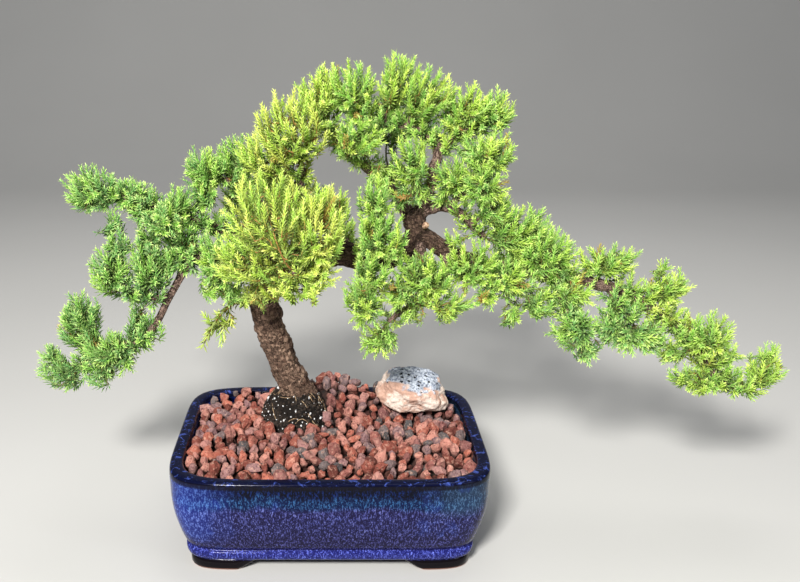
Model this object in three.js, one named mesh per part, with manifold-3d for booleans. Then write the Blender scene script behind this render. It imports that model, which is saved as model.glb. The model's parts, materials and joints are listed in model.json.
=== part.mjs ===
// Garden juniper bonsai in a glazed rectangular pot.
// Millimetres, +Z up. The pot stands on z = 0 and the group is centred on its own box.

import * as THREE from 'three';
import { mergeVertices } from 'three/addons/utils/BufferGeometryUtils.js';
import Module from 'manifold-3d';

const wasm = await Module();
wasm.setup();

// Driving dimensions

const GAP = 0.3;                  // clearance that touching pieces keep
const SLIVER = 0.03;              // edges shorter than about this are closed after a join

const POT_LENGTH = 202;
const POT_DEPTH = 148;
const POT_HEIGHT = 67;
const POT_SQUARENESS = [10, 6.4]; // exponent of the bowed outline, with squarer corners at the base
const SQUARENESS_HEIGHTS = [15, 55];
const POT_SEGMENTS = 36;
const FOOT_HEIGHT = 7.4;
const FOOT_INSET = 12;
const FOOT_ARM_THICKNESS = 15;
const FOOT_SINK = 1.6;
const FOOT_GAP_X = [60, 43];      // half width of the opening between feet, at the floor and above
const FOOT_GAP_Y = [32, 22];
const DRAIN_RADIUS = 6.5;
const DRAIN_OFFSET = 44;

const SOIL_TOP = 57;
const MOUND_CENTRE = new THREE.Vector2(-25, 34);
const MOUND_RADII = new THREE.Vector2(24, 27);
const MOUND_TOP = 80;

const GRAVEL_LEVEL = 63;
const HEAP_CENTRE = new THREE.Vector2(-2, 52);
const HEAP_RADII = new THREE.Vector2(24, 20);
const HEAP_HEIGHT = 16;
const RIDGE_CENTRE = new THREE.Vector2(30, 58);
const RIDGE_RADII = new THREE.Vector2(34, 16);
const RIDGE_HEIGHT = 7;
const PEBBLE_SPACING = 16;
const PEBBLE_RELIEF = 5;          // height of a pebble above the hollows round it

const STONE_CENTRE = new THREE.Vector3(57, 42, 80);
const STONE_RADII = new THREE.Vector3(25.5, 17, 15.5);

const TRUNK_FLARE = 3.2;          // extra radius of the root flare at the soil
const TRUNK_STEP = 11;            // length of the straight stretches of trunk and limbs
const LIMB_STEP = 15;
const SPUR_RADIUS = 1.25;         // brown twig that carries each spray
const SPUR_LENGTH = 5;
const CORE_RADIUS = 0.95;         // slim green stem inside a spray
const CORE_TIP_RADIUS = 0.5;
const WHORL_SPACING = 4.7;        // needles stand in threes, one whorl to each step of the stem
const NEEDLE_LENGTH = 6;
const NEEDLE_LEAN = 0.9;          // angle between needle and stem
const NEEDLE_ROOT = 0.4;          // half thickness of a needle where it leaves the stem
const SHOOT_LENGTH = 16;          // natural length of a side shoot, and the shortest one
const SHOOT_SHORTEST = 9;
const SHOOTS_PER_SPRAY = 2.45;    // in a spray of the usual radius, more in a larger one
const SPRAY_RADIUS = 15;
const SHOOT_TRIES = 14;
const STEM_PARTS = 5;             // straight stretches that stand for a stem in the clearance tests
const CORE_CLEARANCE = 2.4;       // room round a stem and round a needle, towards other pieces
const NEEDLE_CLEARANCE = 0.9;

// Colours and finishes

const FINISHES = {
  glaze: { color: 0x1b2a66, roughness: 0.18, metalness: 0 },
  soil: { color: 0x2a211b, roughness: 1, metalness: 0 },
  lava: { color: 0x9a5646, roughness: 0.95, metalness: 0 },
  stone: { color: 0xd9c9bd, roughness: 0.85, metalness: 0 },
  bark: { color: 0x5d463a, roughness: 0.95, metalness: 0 },
  needles: { color: 0x6f9a3c, roughness: 0.6, metalness: 0 },
};

// Limbs and twigs: radii at root and tip, sides of the section, and the points of the path.
// The first point of each lies inside the limb that it grows from.

const LIMBS = {
  trunk: { radii: [10.8, 7], sides: 8, path: [
    [-18, 35, 59], [-20, 34, 67], [-24, 32, 84], [-28, 31, 95], [-33, 28, 107], [-37, 25, 120],
    [-41, 19, 138], [-44, 14, 154], [-42, 9, 168], [-31, 5, 180], [-15, 3, 185], [4, 4, 188],
    [23, 6, 185], [39, 8, 185], [51, 10, 192], [55, 10, 202], [53, 10, 213]] },
  left_limb: { radii: [4.8, 1.5], sides: 5, path: [
    [-42, 10, 162], [-57, 4, 179], [-73, -2, 189], [-86, -4, 187], [-95, -4, 174], [-104, -5, 158],
    [-114, -6, 141], [-127, -6, 129], [-145, -6, 122], [-162, -6, 117]] },
  left_twig: { radii: [2, 1.3], sides: 4, path: [
    [-101, -5, 163], [-112, -8, 162], [-123, -10, 166], [-133, -10, 173]] },
  left_high: { radii: [4.4, 1.5], sides: 5, path: [
    [-42, 11, 165], [-52, 16, 186], [-66, 16, 199], [-78, 12, 205], [-91, 8, 210], [-103, 4, 216],
    [-117, 2, 221], [-133, 0, 226]] },
  crown_left: { radii: [5.2, 2.4], sides: 5, path: [
    [-41, 10, 166], [-37, 22, 186], [-27, 22, 209], [-20, 14, 228], [-17, 6, 242]] },
  shoulder: { radii: [2.9, 1.6], sides: 4, path: [
    [-30, 22, 203], [-44, 26, 217], [-59, 24, 228], [-71, 20, 235]] },
  front_fan: { radii: [4.2, 2.2], sides: 5, path: [
    [-22, 4, 183], [-16, -14, 181], [-15, -26, 183], [-18, -36, 186], [-22, -45, 191]] },
  weeping: { radii: [2.2, 1.4], sides: 4, path: [
    [-44, 12, 155], [-53, -2, 159], [-59, -8, 159]] },
  arc_limb: { radii: [4.2, 2], sides: 5, path: [
    [53, 10, 208], [62, 8, 216], [72, 6, 218], [82, 4, 214], [89, 2, 207], [98, 0, 199]] },
  right_limb: { radii: [5.8, 1.3], sides: 6, path: [
    [54, 10, 200], [64, 8, 196], [75, 6, 189], [89, 4, 183], [108, 2, 179], [128, 0, 178], [149, -2, 176],
    [169, -4, 170], [187, -6, 166], [204, -6, 156], [221, -6, 143], [238, -6, 126], [250, -6, 110],
    [265, -6, 101], [279, -6, 101]] },
  top_left_limb: { radii: [4.6, 1.8], sides: 5, path: [
    [53, 10, 209], [46, 14, 220], [36, 16, 230], [25, 16, 239], [14, 14, 249], [4, 12, 259], [-2, 12, 269]] },
  crown_riser: { radii: [4, 1.8], sides: 5, path: [
    [54, 10, 210], [62, 4, 228], [64, 2, 242], [66, 2, 255], [60, 6, 263], [48, 10, 267], [33, 12, 269],
    [19, 12, 275]] },
  crown_right: { radii: [2.6, 1.6], sides: 4, path: [
    [65, 2, 253], [75, 6, 260], [86, 10, 266], [98, 12, 269]] },
  right_column: { radii: [2.5, 1.5], sides: 4, path: [
    [75, 6, 217], [83, 0, 230], [90, -4, 240], [97, -6, 249]] },
  centre_riser: { radii: [3.6, 1.8], sides: 4, path: [
    [21, 6, 185], [24, -12, 195], [25, -24, 209], [26, -28, 222]] },
  centre_drop: { radii: [3.2, 1.6], sides: 4, path: [
    [27, 6, 184], [24, -14, 184], [23, -24, 174], [24, -26, 163]] },
  low_twig: { radii: [3, 1.5], sides: 4, path: [
    [75, 6, 189], [71, -10, 178], [58, -18, 165], [45, -20, 158], [36, -20, 150]] },
  low_stub: { radii: [3.4, 2], sides: 4, path: [
    [55, 10, 197], [58, 2, 190], [61, -8, 182], [64, -16, 176]] },
  right_drop: { radii: [2.8, 1.6], sides: 4, path: [
    [143, -1, 177], [145, -8, 166], [148, -14, 156], [157, -18, 147]] },
  far_drop: { radii: [2.4, 1.5], sides: 4, path: [
    [176, -5, 169], [182, -12, 158], [190, -16, 149]] },
  back_crown: { radii: [4.4, 2], sides: 5, path: [
    [52, 12, 205], [48, 34, 213], [43, 50, 224], [39, 58, 236]] },
  back_left: { radii: [4.4, 1.8], sides: 5, path: [
    [-39, 8, 172], [-46, 34, 179], [-51, 52, 189], [-54, 60, 199]] },
  back_right: { radii: [3.2, 2], sides: 4, path: [
    [108, 2, 179], [122, 24, 180], [133, 38, 184]] },
  back_mid: { radii: [3.8, 2.2], sides: 4, path: [
    [8, 5, 187], [10, 30, 190], [8, 48, 199]] },
};

// Sprays of foliage: limb, number of the path point that carries the spray, centre and radii.

const SPRAYS = {
  left_low_tip: ['left_limb', 9, [-178, -6, 114], [14, 10, 12]],
  left_low_round: ['left_limb', 8, [-162, -2, 143], [15, 14, 14]],
  left_low_body: ['left_limb', 7, [-144, -12, 130], [18, 12, 12]],
  left_low_upright: ['left_limb', 7, [-123, 0, 145], [7, 7, 14]],
  left_mid_outer: ['left_twig', 3, [-137, -12, 182], [14, 14, 15]],
  left_mid_inner: ['left_twig', 1, [-112, -8, 186], [15, 14, 18]],
  left_mid_top: ['left_limb', 3, [-94, 2, 200], [13, 14, 15]],
  left_high_tip: ['left_high', 7, [-148, 0, 230], [19, 16, 17]],
  left_high_mid: ['left_high', 6, [-122, 2, 226], [14, 13, 12]],
  left_high_inner: ['left_high', 5, [-101, -13, 214], [12, 12, 12]],
  shoulder_tip: ['shoulder', 3, [-79, 18, 240], [16, 15, 16]],
  shoulder_mid: ['shoulder', 2, [-59, 26, 246], [16, 15, 15]],
  skirt_left: ['left_limb', 2, [-70, -16, 188], [14, 13, 18]],
  weeping_shoot: ['weeping', 2, [-72, -10, 143], [13, 4, 16]],
  crown_left_fan: ['crown_left', 4, [-24, -4, 269], [24, 18, 24]],
  crown_left_side: ['crown_left', 3, [-42, 8, 252], [18, 16, 16]],
  front_fan_top: ['front_fan', 4, [-35, -46, 226], [28, 14, 27]],
  front_fan_right: ['front_fan', 2, [-6, -42, 214], [18, 14, 28]],
  front_fan_low: ['front_fan', 1, [-19, -38, 172], [26, 14, 9]],
  front_fan_left: ['front_fan', 3, [-54, -42, 198], [18, 12, 20]],
  crown_far_left: ['top_left_limb', 6, [-7, 10, 286], [16, 18, 16]],
  crown_top_left: ['crown_riser', 7, [13, 6, 292], [18, 18, 17]],
  crown_peak: ['crown_riser', 6, [39, 6, 297], [16, 16, 20]],
  crown_top_mid: ['crown_riser', 5, [60, 4, 291], [18, 18, 18]],
  crown_top_right: ['crown_right', 2, [84, 10, 285], [17, 16, 16]],
  crown_far_right: ['crown_right', 3, [105, 12, 277], [14, 14, 15]],
  crown_under: ['top_left_limb', 5, [19, -6, 263], [16, 14, 14]],
  mid_upright: ['crown_riser', 2, [48, -10, 250], [13, 10, 18]],
  column_top: ['right_column', 3, [101, -6, 254], [13, 14, 15]],
  column_mid: ['right_column', 2, [93, -10, 234], [17, 14, 15]],
  column_low: ['arc_limb', 4, [102, -2, 220], [12, 12, 14]],
  inner_right: ['right_column', 1, [73, -4, 239], [13, 12, 15]],
  centre_up: ['centre_riser', 3, [25, -32, 230], [14, 12, 18]],
  centre_mid: ['centre_riser', 1, [31, -34, 209], [16, 12, 20]],
  centre_low: ['centre_drop', 3, [22, -30, 164], [12, 10, 18]],
  centre_tail: ['low_twig', 4, [30, -24, 139], [13, 10, 14]],
  lower_left: ['low_stub', 3, [57, -24, 181], [20, 13, 16]],
  lower_mid: ['right_limb', 3, [86, -16, 185], [20, 14, 18]],
  lower_under: ['low_twig', 2, [73, -24, 165], [18, 10, 9]],
  right_top: ['arc_limb', 5, [120, 0, 206], [20, 16, 17]],
  right_body: ['right_limb', 5, [136, -8, 192], [20, 16, 18]],
  right_low: ['right_limb', 4, [111, -16, 176], [18, 14, 14]],
  right_back: ['back_right', 2, [140, 34, 194], [20, 14, 16]],
  right_mid: ['right_limb', 7, [170, -2, 187], [20, 14, 15]],
  drop_left: ['right_drop', 3, [152, -20, 145], [17, 12, 15]],
  drop_right: ['far_drop', 2, [189, -18, 140], [20, 12, 12]],
  far_upright: ['right_limb', 9, [212, -4, 170], [15, 12, 17]],
  far_body: ['right_limb', 11, [241, -6, 137], [20, 14, 17]],
  far_low: ['right_limb', 12, [242, -10, 107], [16, 12, 9]],
  right_tip: ['right_limb', 14, [283, -6, 114], [14, 10, 13]],
  back_crown: ['back_crown', 3, [37, 60, 259], [28, 14, 24]],
  back_left: ['back_left', 3, [-52, 62, 214], [28, 14, 26]],
  back_mid: ['back_mid', 2, [0, 54, 214], [24, 14, 22]],
};

// Small helpers

function random(seed) {
  // Seeded draw from 0 to 1, so that every run gives the same tree.
  let state = seed >>> 0;
  return () => {
    state = (state + 0x6d2b79f5) >>> 0;
    let t = state;
    t = Math.imul(t ^ (t >>> 15), t | 1);
    t ^= t + Math.imul(t ^ (t >>> 7), t | 61);
    return ((t ^ (t >>> 14)) >>> 0) / 4294967296;
  };
}

function vectors(points) {
  return points.map((p) => new THREE.Vector3(...p));
}

function solid(geometry) {
  // Closed geometry to a solid, turned right side out if it is inside out.
  const bare = geometry.index ? geometry.clone() : geometry;
  bare.deleteAttribute('normal');
  bare.deleteAttribute('uv');
  const merged = mergeVertices(bare, 1e-4);
  const all = merged.index.array;
  const corners = [];
  for (let i = 0; i < all.length; i += 3) {
    const [a, b, c] = all.slice(i, i + 3);
    if (a !== b && b !== c && c !== a) corners.push(a, b, c);
  }
  const vertProperties = new Float32Array(merged.attributes.position.array);
  const make = (list) => new wasm.Manifold(
    new wasm.Mesh({ numProp: 3, vertProperties, triVerts: new Uint32Array(list) }));
  const body = make(corners);
  if (body.volume() > 0) return body;
  return make(corners.reverse());
}

function meshOf(name, body, finish) {
  const mesh = body.simplify(SLIVER).getMesh();
  const geometry = new THREE.BufferGeometry();
  geometry.setAttribute('position', new THREE.BufferAttribute(new Float32Array(mesh.vertProperties), 3));
  geometry.setIndex(Array.from(mesh.triVerts));
  geometry.computeVertexNormals();
  const result = new THREE.Mesh(geometry, new THREE.MeshStandardMaterial(FINISHES[finish]));
  result.name = name;
  return result;
}

function largest(body) {
  // The main body of a cut, without loose scraps.
  return body.decompose().reduce((best, piece) => (piece.volume() > best.volume() ? piece : best));
}

function reshape(geometry, move) {
  // Moves every vertex of a geometry by a rule.
  const position = geometry.attributes.position;
  const point = new THREE.Vector3();
  for (let i = 0; i < position.count; i += 1) {
    point.fromBufferAttribute(position, i);
    move(point, i);
    position.setXYZ(i, point.x, point.y, point.z);
  }
  return geometry;
}

// Pot

function outlinePoint(angle, inset, height) {
  // Point of the rounded rectangle that lies inset millimetres inside the rim's outline.
  const [low, high] = SQUARENESS_HEIGHTS;
  const rise = THREE.MathUtils.clamp((height - low) / (high - low), 0, 1);
  const power = THREE.MathUtils.lerp(...POT_SQUARENESS, rise);
  const square = (value) => (Math.abs(value) < 1e-6 ? 0
    : Math.sign(value) * Math.abs(value) ** (2 / power));
  return new THREE.Vector2(
    (POT_LENGTH / 2 - inset) * square(Math.cos(angle)),
    (POT_DEPTH / 2 - inset) * square(Math.sin(angle)));
}

function traySolid(profile) {
  // Turns a list of [inset, z] into a solid of the pot's outline. It ends on the axis at both ends.
  const full = POT_LENGTH;
  const start = new THREE.Vector2(0, profile[0][1]);
  const end = new THREE.Vector2(0, profile[profile.length - 1][1]);
  const points = profile.map(([inset, z]) => new THREE.Vector2(full - inset, z));
  const lathe = new THREE.LatheGeometry([start, ...points, end], POT_SEGMENTS);
  return solid(reshape(lathe, (p) => {
    const reach = Math.hypot(p.x, p.z);
    const height = p.y;
    if (reach < 1e-6) {
      p.set(0, 0, height);
      return;
    }
    const place = outlinePoint(Math.atan2(p.z, p.x), full - reach, height);
    p.set(place.x, place.y, height);
  }));
}

const INNER_WALL = [[22, 15], [14.5, 21], [9.8, 38], [8.4, 60]];

function potFoot() {
  const top = FOOT_HEIGHT + FOOT_SINK;
  const outer = [[FOOT_INSET, 0], [FOOT_INSET - 0.5, top]];
  const inner = [[FOOT_INSET + FOOT_ARM_THICKNESS, -1], [FOOT_INSET + FOOT_ARM_THICKNESS, top + 1]];
  let ring = traySolid(outer).subtract(traySolid(inner));
  const cuts = [[FOOT_GAP_X, 0], [FOOT_GAP_Y, Math.PI / 2]];
  for (const [[low, high], turn] of cuts) {
    const shape = new THREE.Shape();
    shape.moveTo(-low, -1);
    shape.lineTo(low, -1);
    shape.lineTo(high, FOOT_HEIGHT + FOOT_SINK + 1);
    shape.lineTo(-high, FOOT_HEIGHT + FOOT_SINK + 1);
    shape.closePath();
    const bar = new THREE.ExtrudeGeometry(shape, { depth: 2 * POT_LENGTH, bevelEnabled: false });
    bar.translate(0, 0, -POT_LENGTH);
    bar.rotateX(Math.PI / 2);
    bar.rotateZ(turn);
    ring = ring.subtract(solid(bar));
  }
  return ring;
}

function pot() {
  const wall = traySolid([
    [12.4, FOOT_HEIGHT], [10.4, 8.8], [9.2, 13], [10.6, 15.4], [8.2, 19.5], [4.9, 30], [1.8, 42],
    [0.3, 55], [0, 64.4], [1.8, POT_HEIGHT], [7, POT_HEIGHT], [8.2, 65],
    ...INNER_WALL.slice().reverse(),
  ]);
  let body = wall.add(potFoot());
  for (const side of [-1, 1]) {
    const drain = new THREE.CylinderGeometry(DRAIN_RADIUS, DRAIN_RADIUS, POT_HEIGHT, 16);
    drain.rotateX(Math.PI / 2);
    drain.translate(side * DRAIN_OFFSET, 0, 0);
    body = body.subtract(solid(drain));
  }
  return body;
}

// Soil, with the mound round the foot of the trunk

function mound(grow) {
  const profile = [
    [0, SOIL_TOP - 8], [1.08, SOIL_TOP - 8], [1.04, GRAVEL_LEVEL], [0.9, GRAVEL_LEVEL + 7],
    [0.64, MOUND_TOP - 4], [0.35, MOUND_TOP - 1], [0, MOUND_TOP],
  ];
  const lathe = new THREE.LatheGeometry(profile.map(([r, z]) => new THREE.Vector2(r, z)), 16);
  return solid(reshape(lathe, (p) => {
    const height = p.y + (p.y > SOIL_TOP ? grow : -grow);
    const lump = 1 + 0.05 * Math.sin(5 * Math.atan2(p.z, p.x) + p.y / 3);
    const x = MOUND_CENTRE.x + p.x * (MOUND_RADII.x * lump + grow);
    const y = MOUND_CENTRE.y + p.z * (MOUND_RADII.y * lump + grow);
    p.set(x, y, height);
  }));
}

function soil() {
  const floor = INNER_WALL.filter(([, z]) => z < SOIL_TOP - 4).map(([inset, z]) => [inset + GAP, z + GAP]);
  const fill = traySolid([...floor, [9.4 + GAP, SOIL_TOP]]);
  return fill.add(mound(0)).subtract(limbSolid('trunk', GAP));
}

// Accent stone and gravel

function stone(grow) {
  const ball = new THREE.IcosahedronGeometry(1, 2);
  return solid(reshape(ball, (p) => {
    const swell = 0.07 * Math.sin(3.1 * p.x + 1) * Math.cos(2.7 * p.y);
    const lump = 1 + swell + 0.06 * Math.sin(5 * p.z + 4 * p.x);
    const flat = p.z < -0.55 ? -0.55 / p.z : 1;
    p.set(
      STONE_CENTRE.x + p.x * (STONE_RADII.x * lump + grow),
      STONE_CENTRE.y + p.y * (STONE_RADII.y * lump + grow),
      STONE_CENTRE.z + p.z * flat * (STONE_RADII.z * lump + grow) - 3 * p.x);
  }));
}

function bump(x, y, centre, radii) {
  return Math.exp(-(((x - centre.x) / radii.x) ** 2) - ((y - centre.y) / radii.y) ** 2);
}

function gravelHeight(x, y) {
  return GRAVEL_LEVEL + HEAP_HEIGHT * bump(x, y, HEAP_CENTRE, HEAP_RADII)
    + RIDGE_HEIGHT * bump(x, y, RIDGE_CENTRE, RIDGE_RADII);
}

function gravelSheet(draw) {
  // A honeycomb of pebbles: low shared corners, and inside each cell a raised, uneven hexagon.
  const positions = [];
  const faces = [];
  const corners = new Map();
  const add = (x, y, z) => positions.push(x, y, z) / 3 - 1;
  const side = PEBBLE_SPACING / Math.sqrt(3);
  const rows = Math.ceil(POT_DEPTH / side / 3) + 1;
  const columns = Math.ceil(POT_LENGTH / PEBBLE_SPACING / 2) + 1;
  const corner = (x, y) => {
    const key = `${Math.round(x * 2)} ${Math.round(y * 2)}`;
    if (!corners.has(key)) {
      const px = x + 2.6 * (draw() - 0.5);
      const py = y + 2.6 * (draw() - 0.5);
      corners.set(key, add(px, py, gravelHeight(px, py) - PEBBLE_RELIEF * (0.45 + 0.3 * draw())));
    }
    return corners.get(key);
  };
  for (let row = -rows; row <= rows; row += 1) {
    for (let column = -columns; column <= columns; column += 1) {
      const x = (column + (Math.abs(row) % 2) / 2) * PEBBLE_SPACING;
      const y = row * side * 1.5;
      const top = gravelHeight(x, y) + PEBBLE_RELIEF * (0.35 + 0.3 * draw());
      const tilt = [0.3 * (draw() - 0.5), 0.3 * (draw() - 0.5)];
      const low = [];
      const high = [];
      for (let i = 0; i < 6; i += 1) {
        const angle = (i + 0.5) * Math.PI / 3;
        const reach = side * (0.5 + 0.16 * draw());
        const dx = reach * Math.cos(angle);
        const dy = reach * Math.sin(angle);
        low.push(corner(x + side * Math.cos(angle), y + side * Math.sin(angle)));
        high.push(add(x + dx, y + dy, top + tilt[0] * dx + tilt[1] * dy - 0.8 * draw()));
      }
      for (let i = 0; i < 6; i += 1) {
        const j = (i + 1) % 6;
        faces.push([low[i], low[j], high[j]], [low[i], high[j], high[i]]);
        if (i > 0 && i < 5) faces.push([high[0], high[i], high[j]]);
      }
    }
  }
  return { positions, faces };
}

function thicken({ positions, faces }, bottom) {
  // Closes a sheet into a solid that reaches down to a level.
  const count = positions.length / 3;
  const all = positions.slice();
  for (let i = 0; i < count; i += 1) all.push(positions[3 * i], positions[3 * i + 1], bottom);
  const corners = [];
  const open = new Set();
  for (const [a, b, c] of faces) {
    corners.push(a, b, c, a + count, c + count, b + count);
    for (const [from, to] of [[a, b], [b, c], [c, a]]) {
      if (!open.delete(`${to} ${from}`)) open.add(`${from} ${to}`);
    }
  }
  for (const edge of open) {
    const [from, to] = edge.split(' ').map(Number);
    corners.push(to, from, from + count, to, from + count, to + count);
  }
  const geometry = new THREE.BufferGeometry();
  geometry.setAttribute('position', new THREE.Float32BufferAttribute(all, 3));
  geometry.setIndex(corners);
  return solid(geometry);
}

function gravel() {
  // A bed with a relief of pebbles, larger than life, kept clear of all that it touches.
  const bed = thicken(gravelSheet(random(11)), 0);
  const space = traySolid([
    [9 + GAP, SOIL_TOP + GAP], [8.2 + GAP, 65], [8.2 + GAP, 2 * POT_HEIGHT]]);
  const kept = [mound(GAP), stone(GAP), limbSolid('trunk', GAP)];
  return largest(kept.reduce((rest, piece) => rest.subtract(piece), bed.intersect(space)));
}

// Trunk and limbs

function bentCylinder(curve, radiusAt, sides, steps) {
  // A cylinder bent along a curve, with its radius by a rule of place along and angle round it.
  const frames = curve.computeFrenetFrames(steps);
  const tube = new THREE.CylinderGeometry(1, 1, 1, sides, steps);
  return reshape(tube, (p) => {
    const step = Math.round((p.y + 0.5) * steps);
    const along = step / steps;
    const angle = Math.atan2(p.z, p.x);
    const radius = Math.hypot(p.x, p.z) * radiusAt(along, angle);
    const centre = curve.getPointAt(along);
    centre.addScaledVector(frames.binormals[step], radius * Math.cos(angle));
    centre.addScaledVector(frames.normals[step], radius * Math.sin(angle));
    p.copy(centre);
  });
}

function limbCurve(name) {
  return new THREE.CatmullRomCurve3(vectors(LIMBS[name].path), false, 'centripetal');
}

function limbRadius(name, along, angle) {
  const [root, tip] = LIMBS[name].radii;
  const gnarl = 1 + 0.06 * Math.sin(3 * angle + 40 * along) + 0.05 * Math.sin(2 * angle - 23 * along);
  const flare = name === 'trunk' ? TRUNK_FLARE * Math.exp(-((along / 0.09) ** 2)) : 0;
  return THREE.MathUtils.lerp(root, tip, along) * gnarl + flare * (1 + 0.3 * Math.sin(4 * angle));
}

function limbSolid(name, grow) {
  const curve = limbCurve(name);
  const steps = Math.ceil(curve.getLength() / (name === 'trunk' ? TRUNK_STEP : LIMB_STEP));
  const tube = bentCylinder(curve, (t, a) => limbRadius(name, t, a) + grow, LIMBS[name].sides, steps);
  const body = solid(tube);
  return grow ? body.add(body.translate([0, 0, -grow])) : body;
}

function spur(spray) {
  // Where a spray's twig leaves its limb, and where its green stem starts.
  const [limb, index, centre] = SPRAYS[spray];
  const path = vectors(LIMBS[limb].path);
  const root = path[index];
  const last = path.length - 1;
  if (index === last) return { root, direction: limbCurve(limb).getTangentAt(1), end: root };
  const heading = path[index + 1].clone().sub(path[index - 1]).normalize();
  const direction = new THREE.Vector3(...centre).sub(root).normalize();
  direction.addScaledVector(heading, -0.8 * direction.dot(heading)).normalize();
  const [thick, thin] = LIMBS[limb].radii;
  const along = index / last;
  const reach = THREE.MathUtils.lerp(thick, thin, along) + SPUR_LENGTH;
  const end = root.clone().addScaledVector(direction, reach);
  return { root, direction, end };
}

function wood() {
  const parts = Object.keys(LIMBS).map((name) => limbSolid(name, 0));
  for (const name of Object.keys(SPRAYS)) {
    const { root, end } = spur(name);
    if (end !== root) {
      const twig = new THREE.LineCurve3(root, end);
      parts.push(solid(bentCylinder(twig, () => SPUR_RADIUS, 3, 1)));
    }
  }
  return wasm.Manifold.union(parts);
}

// Sprays of needles

const taken = [];                 // lines with a radius that other nodes have filled

function claim(owner, stem, from, to, radius) {
  taken.push({ owner, stem, line: new THREE.Line3(from, to), radius });
}

function isClear(line, room, mayTouch) {
  return taken.every((other) => mayTouch(other)
    || other.line.distanceSqToLine3(line) > (other.radius + room) ** 2);
}

function claimWood() {
  for (const name of Object.keys(LIMBS)) {
    const curve = limbCurve(name);
    const count = Math.ceil(curve.getLength() / 5);
    const points = curve.getSpacedPoints(count);
    for (let i = 0; i < count; i += 1) {
      claim('wood', null, points[i], points[i + 1], limbRadius(name, i / count, 0) * 1.12);
    }
  }
  for (const name of Object.keys(SPRAYS)) {
    const { root, end } = spur(name);
    if (end !== root) claim(name, null, root, end, SPUR_RADIUS);
  }
}

function spreadDirection(index, twist) {
  // Evenly spread directions, so that the first few already point to all sides.
  const u = (0.5 + 0.7548776662 * (index + twist)) % 1;
  const v = (0.5 + 0.569840291 * (index + twist)) % 1;
  const z = 1 - 2 * u;
  const round = Math.sqrt(1 - z * z);
  return new THREE.Vector3(round * Math.cos(2 * Math.PI * v), round * Math.sin(2 * Math.PI * v), z);
}

function shootCurve(start, heading, tip) {
  // Leaves its parent along the parent's heading and bends over to its tip.
  const length = start.distanceTo(tip);
  const bend = start.clone().addScaledVector(heading, 0.42 * length);
  return new THREE.QuadraticBezierCurve3(start, bend, tip);
}

function growSpray(name, order) {
  // Stems of one spray. The first runs from the twig through the centre, the others leave it.
  const [, , centrePoint, radii] = SPRAYS[name];
  const draw = random(100 + order);
  const centre = new THREE.Vector3(...centrePoint);
  const size = new THREE.Vector3(...radii);
  const { direction, end } = spur(name);
  const start = end.clone().addScaledVector(direction, GAP);
  const mean = Math.cbrt(size.x * size.y * size.z);
  const count = Math.max(2, Math.round(SHOOTS_PER_SPRAY * mean / SPRAY_RADIUS));
  const outward = centre.clone().sub(start).normalize().add(new THREE.Vector3(0, 0, 0.35)).normalize();
  const stems = [];
  for (let attempt = 0; stems.length < count && attempt < SHOOT_TRIES * count; attempt += 1) {
    const leader = stems.length === 0;
    const aim = leader ? outward.clone() : spreadDirection(attempt, order * 0.37);
    if (leader && attempt > 0) aim.add(new THREE.Vector3(draw() - 0.5, draw() - 0.5, draw() - 0.5));
    const tip = centre.clone().add(aim.normalize().multiply(size).multiplyScalar(0.8 + 0.2 * draw()));
    const stem = leader ? shootCurve(start, direction, tip) : sideStem(stems, tip);
    if (stem && stemIsClear(name, stem)) {
      stems.push(stem);
      const points = stem.getSpacedPoints(STEM_PARTS);
      for (let i = 0; i < STEM_PARTS; i += 1) claim(name, stem, points[i], points[i + 1], CORE_RADIUS);
    }
  }
  return stems;
}

function sideStem(stems, tip) {
  // Starts from the stem point that gives a natural length and the smallest turn.
  let best = null;
  for (const parent of stems) {
    for (const along of [0.23, 0.37, 0.52, 0.66]) {
      const start = parent.getPointAt(along);
      const heading = parent.getTangentAt(along);
      const way = tip.clone().sub(start);
      const length = way.length();
      const turn = 1 - way.dot(heading) / length;
      const cost = Math.abs(length - SHOOT_LENGTH) + 9 * turn;
      heading.addScaledVector(way, 0.9 / length).normalize();
      const grows = length > SHOOT_SHORTEST && turn < 1.1;
      if (grows && (!best || cost < best.cost)) best = { start, heading, cost };
    }
  }
  return best && shootCurve(best.start, best.heading, tip);
}

function stemIsClear(name, stem) {
  // Clear of other sprays and of the wood, apart from the twig end that the stem continues.
  const points = stem.getSpacedPoints(STEM_PARTS);
  return points.slice(1).every((point, i) => isClear(
    new THREE.Line3(points[i], point),
    CORE_RADIUS + (i > 0 ? CORE_CLEARANCE : GAP),
    (other) => other.owner === name || other.line.end.distanceTo(points[0]) < 2 * GAP));
}

function needledStem(name, stem) {
  // A slim three-sided stem. On each side of each step, one facet is raised into a needle.
  const steps = Math.max(3, Math.round(stem.getLength() / WHORL_SPACING));
  const radiusAt = (t) => THREE.MathUtils.lerp(CORE_RADIUS, CORE_TIP_RADIUS, t);
  const tube = bentCylinder(stem, radiusAt, 3, steps);
  const positions = Array.from(tube.attributes.position.array);
  const source = Array.from(tube.index.array);
  const corner = (i) => new THREE.Vector3().fromArray(positions, 3 * i);
  const faces = [];
  const sideFaces = 2 * 3 * steps;
  for (let face = 0; face < source.length / 3; face += 1) {
    const [a, b, c] = source.slice(3 * face, 3 * face + 3);
    const step = steps - 1 - Math.floor(face / 2) % steps;
    const apex = face < sideFaces && face % 2 === 1 && step > 0
      ? needleTip(name, stem, [a, b, c].map(corner), (step + 0.5) / steps) : null;
    if (apex) {
      const top = positions.length / 3;
      positions.push(apex.x, apex.y, apex.z);
      faces.push(a, b, top, b, c, top, c, a, top);
    } else {
      faces.push(a, b, c);
    }
  }
  lengthenTip(positions, stem);
  const geometry = new THREE.BufferGeometry();
  geometry.setAttribute('position', new THREE.Float32BufferAttribute(positions, 3));
  geometry.setIndex(faces);
  return solid(geometry);
}

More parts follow.
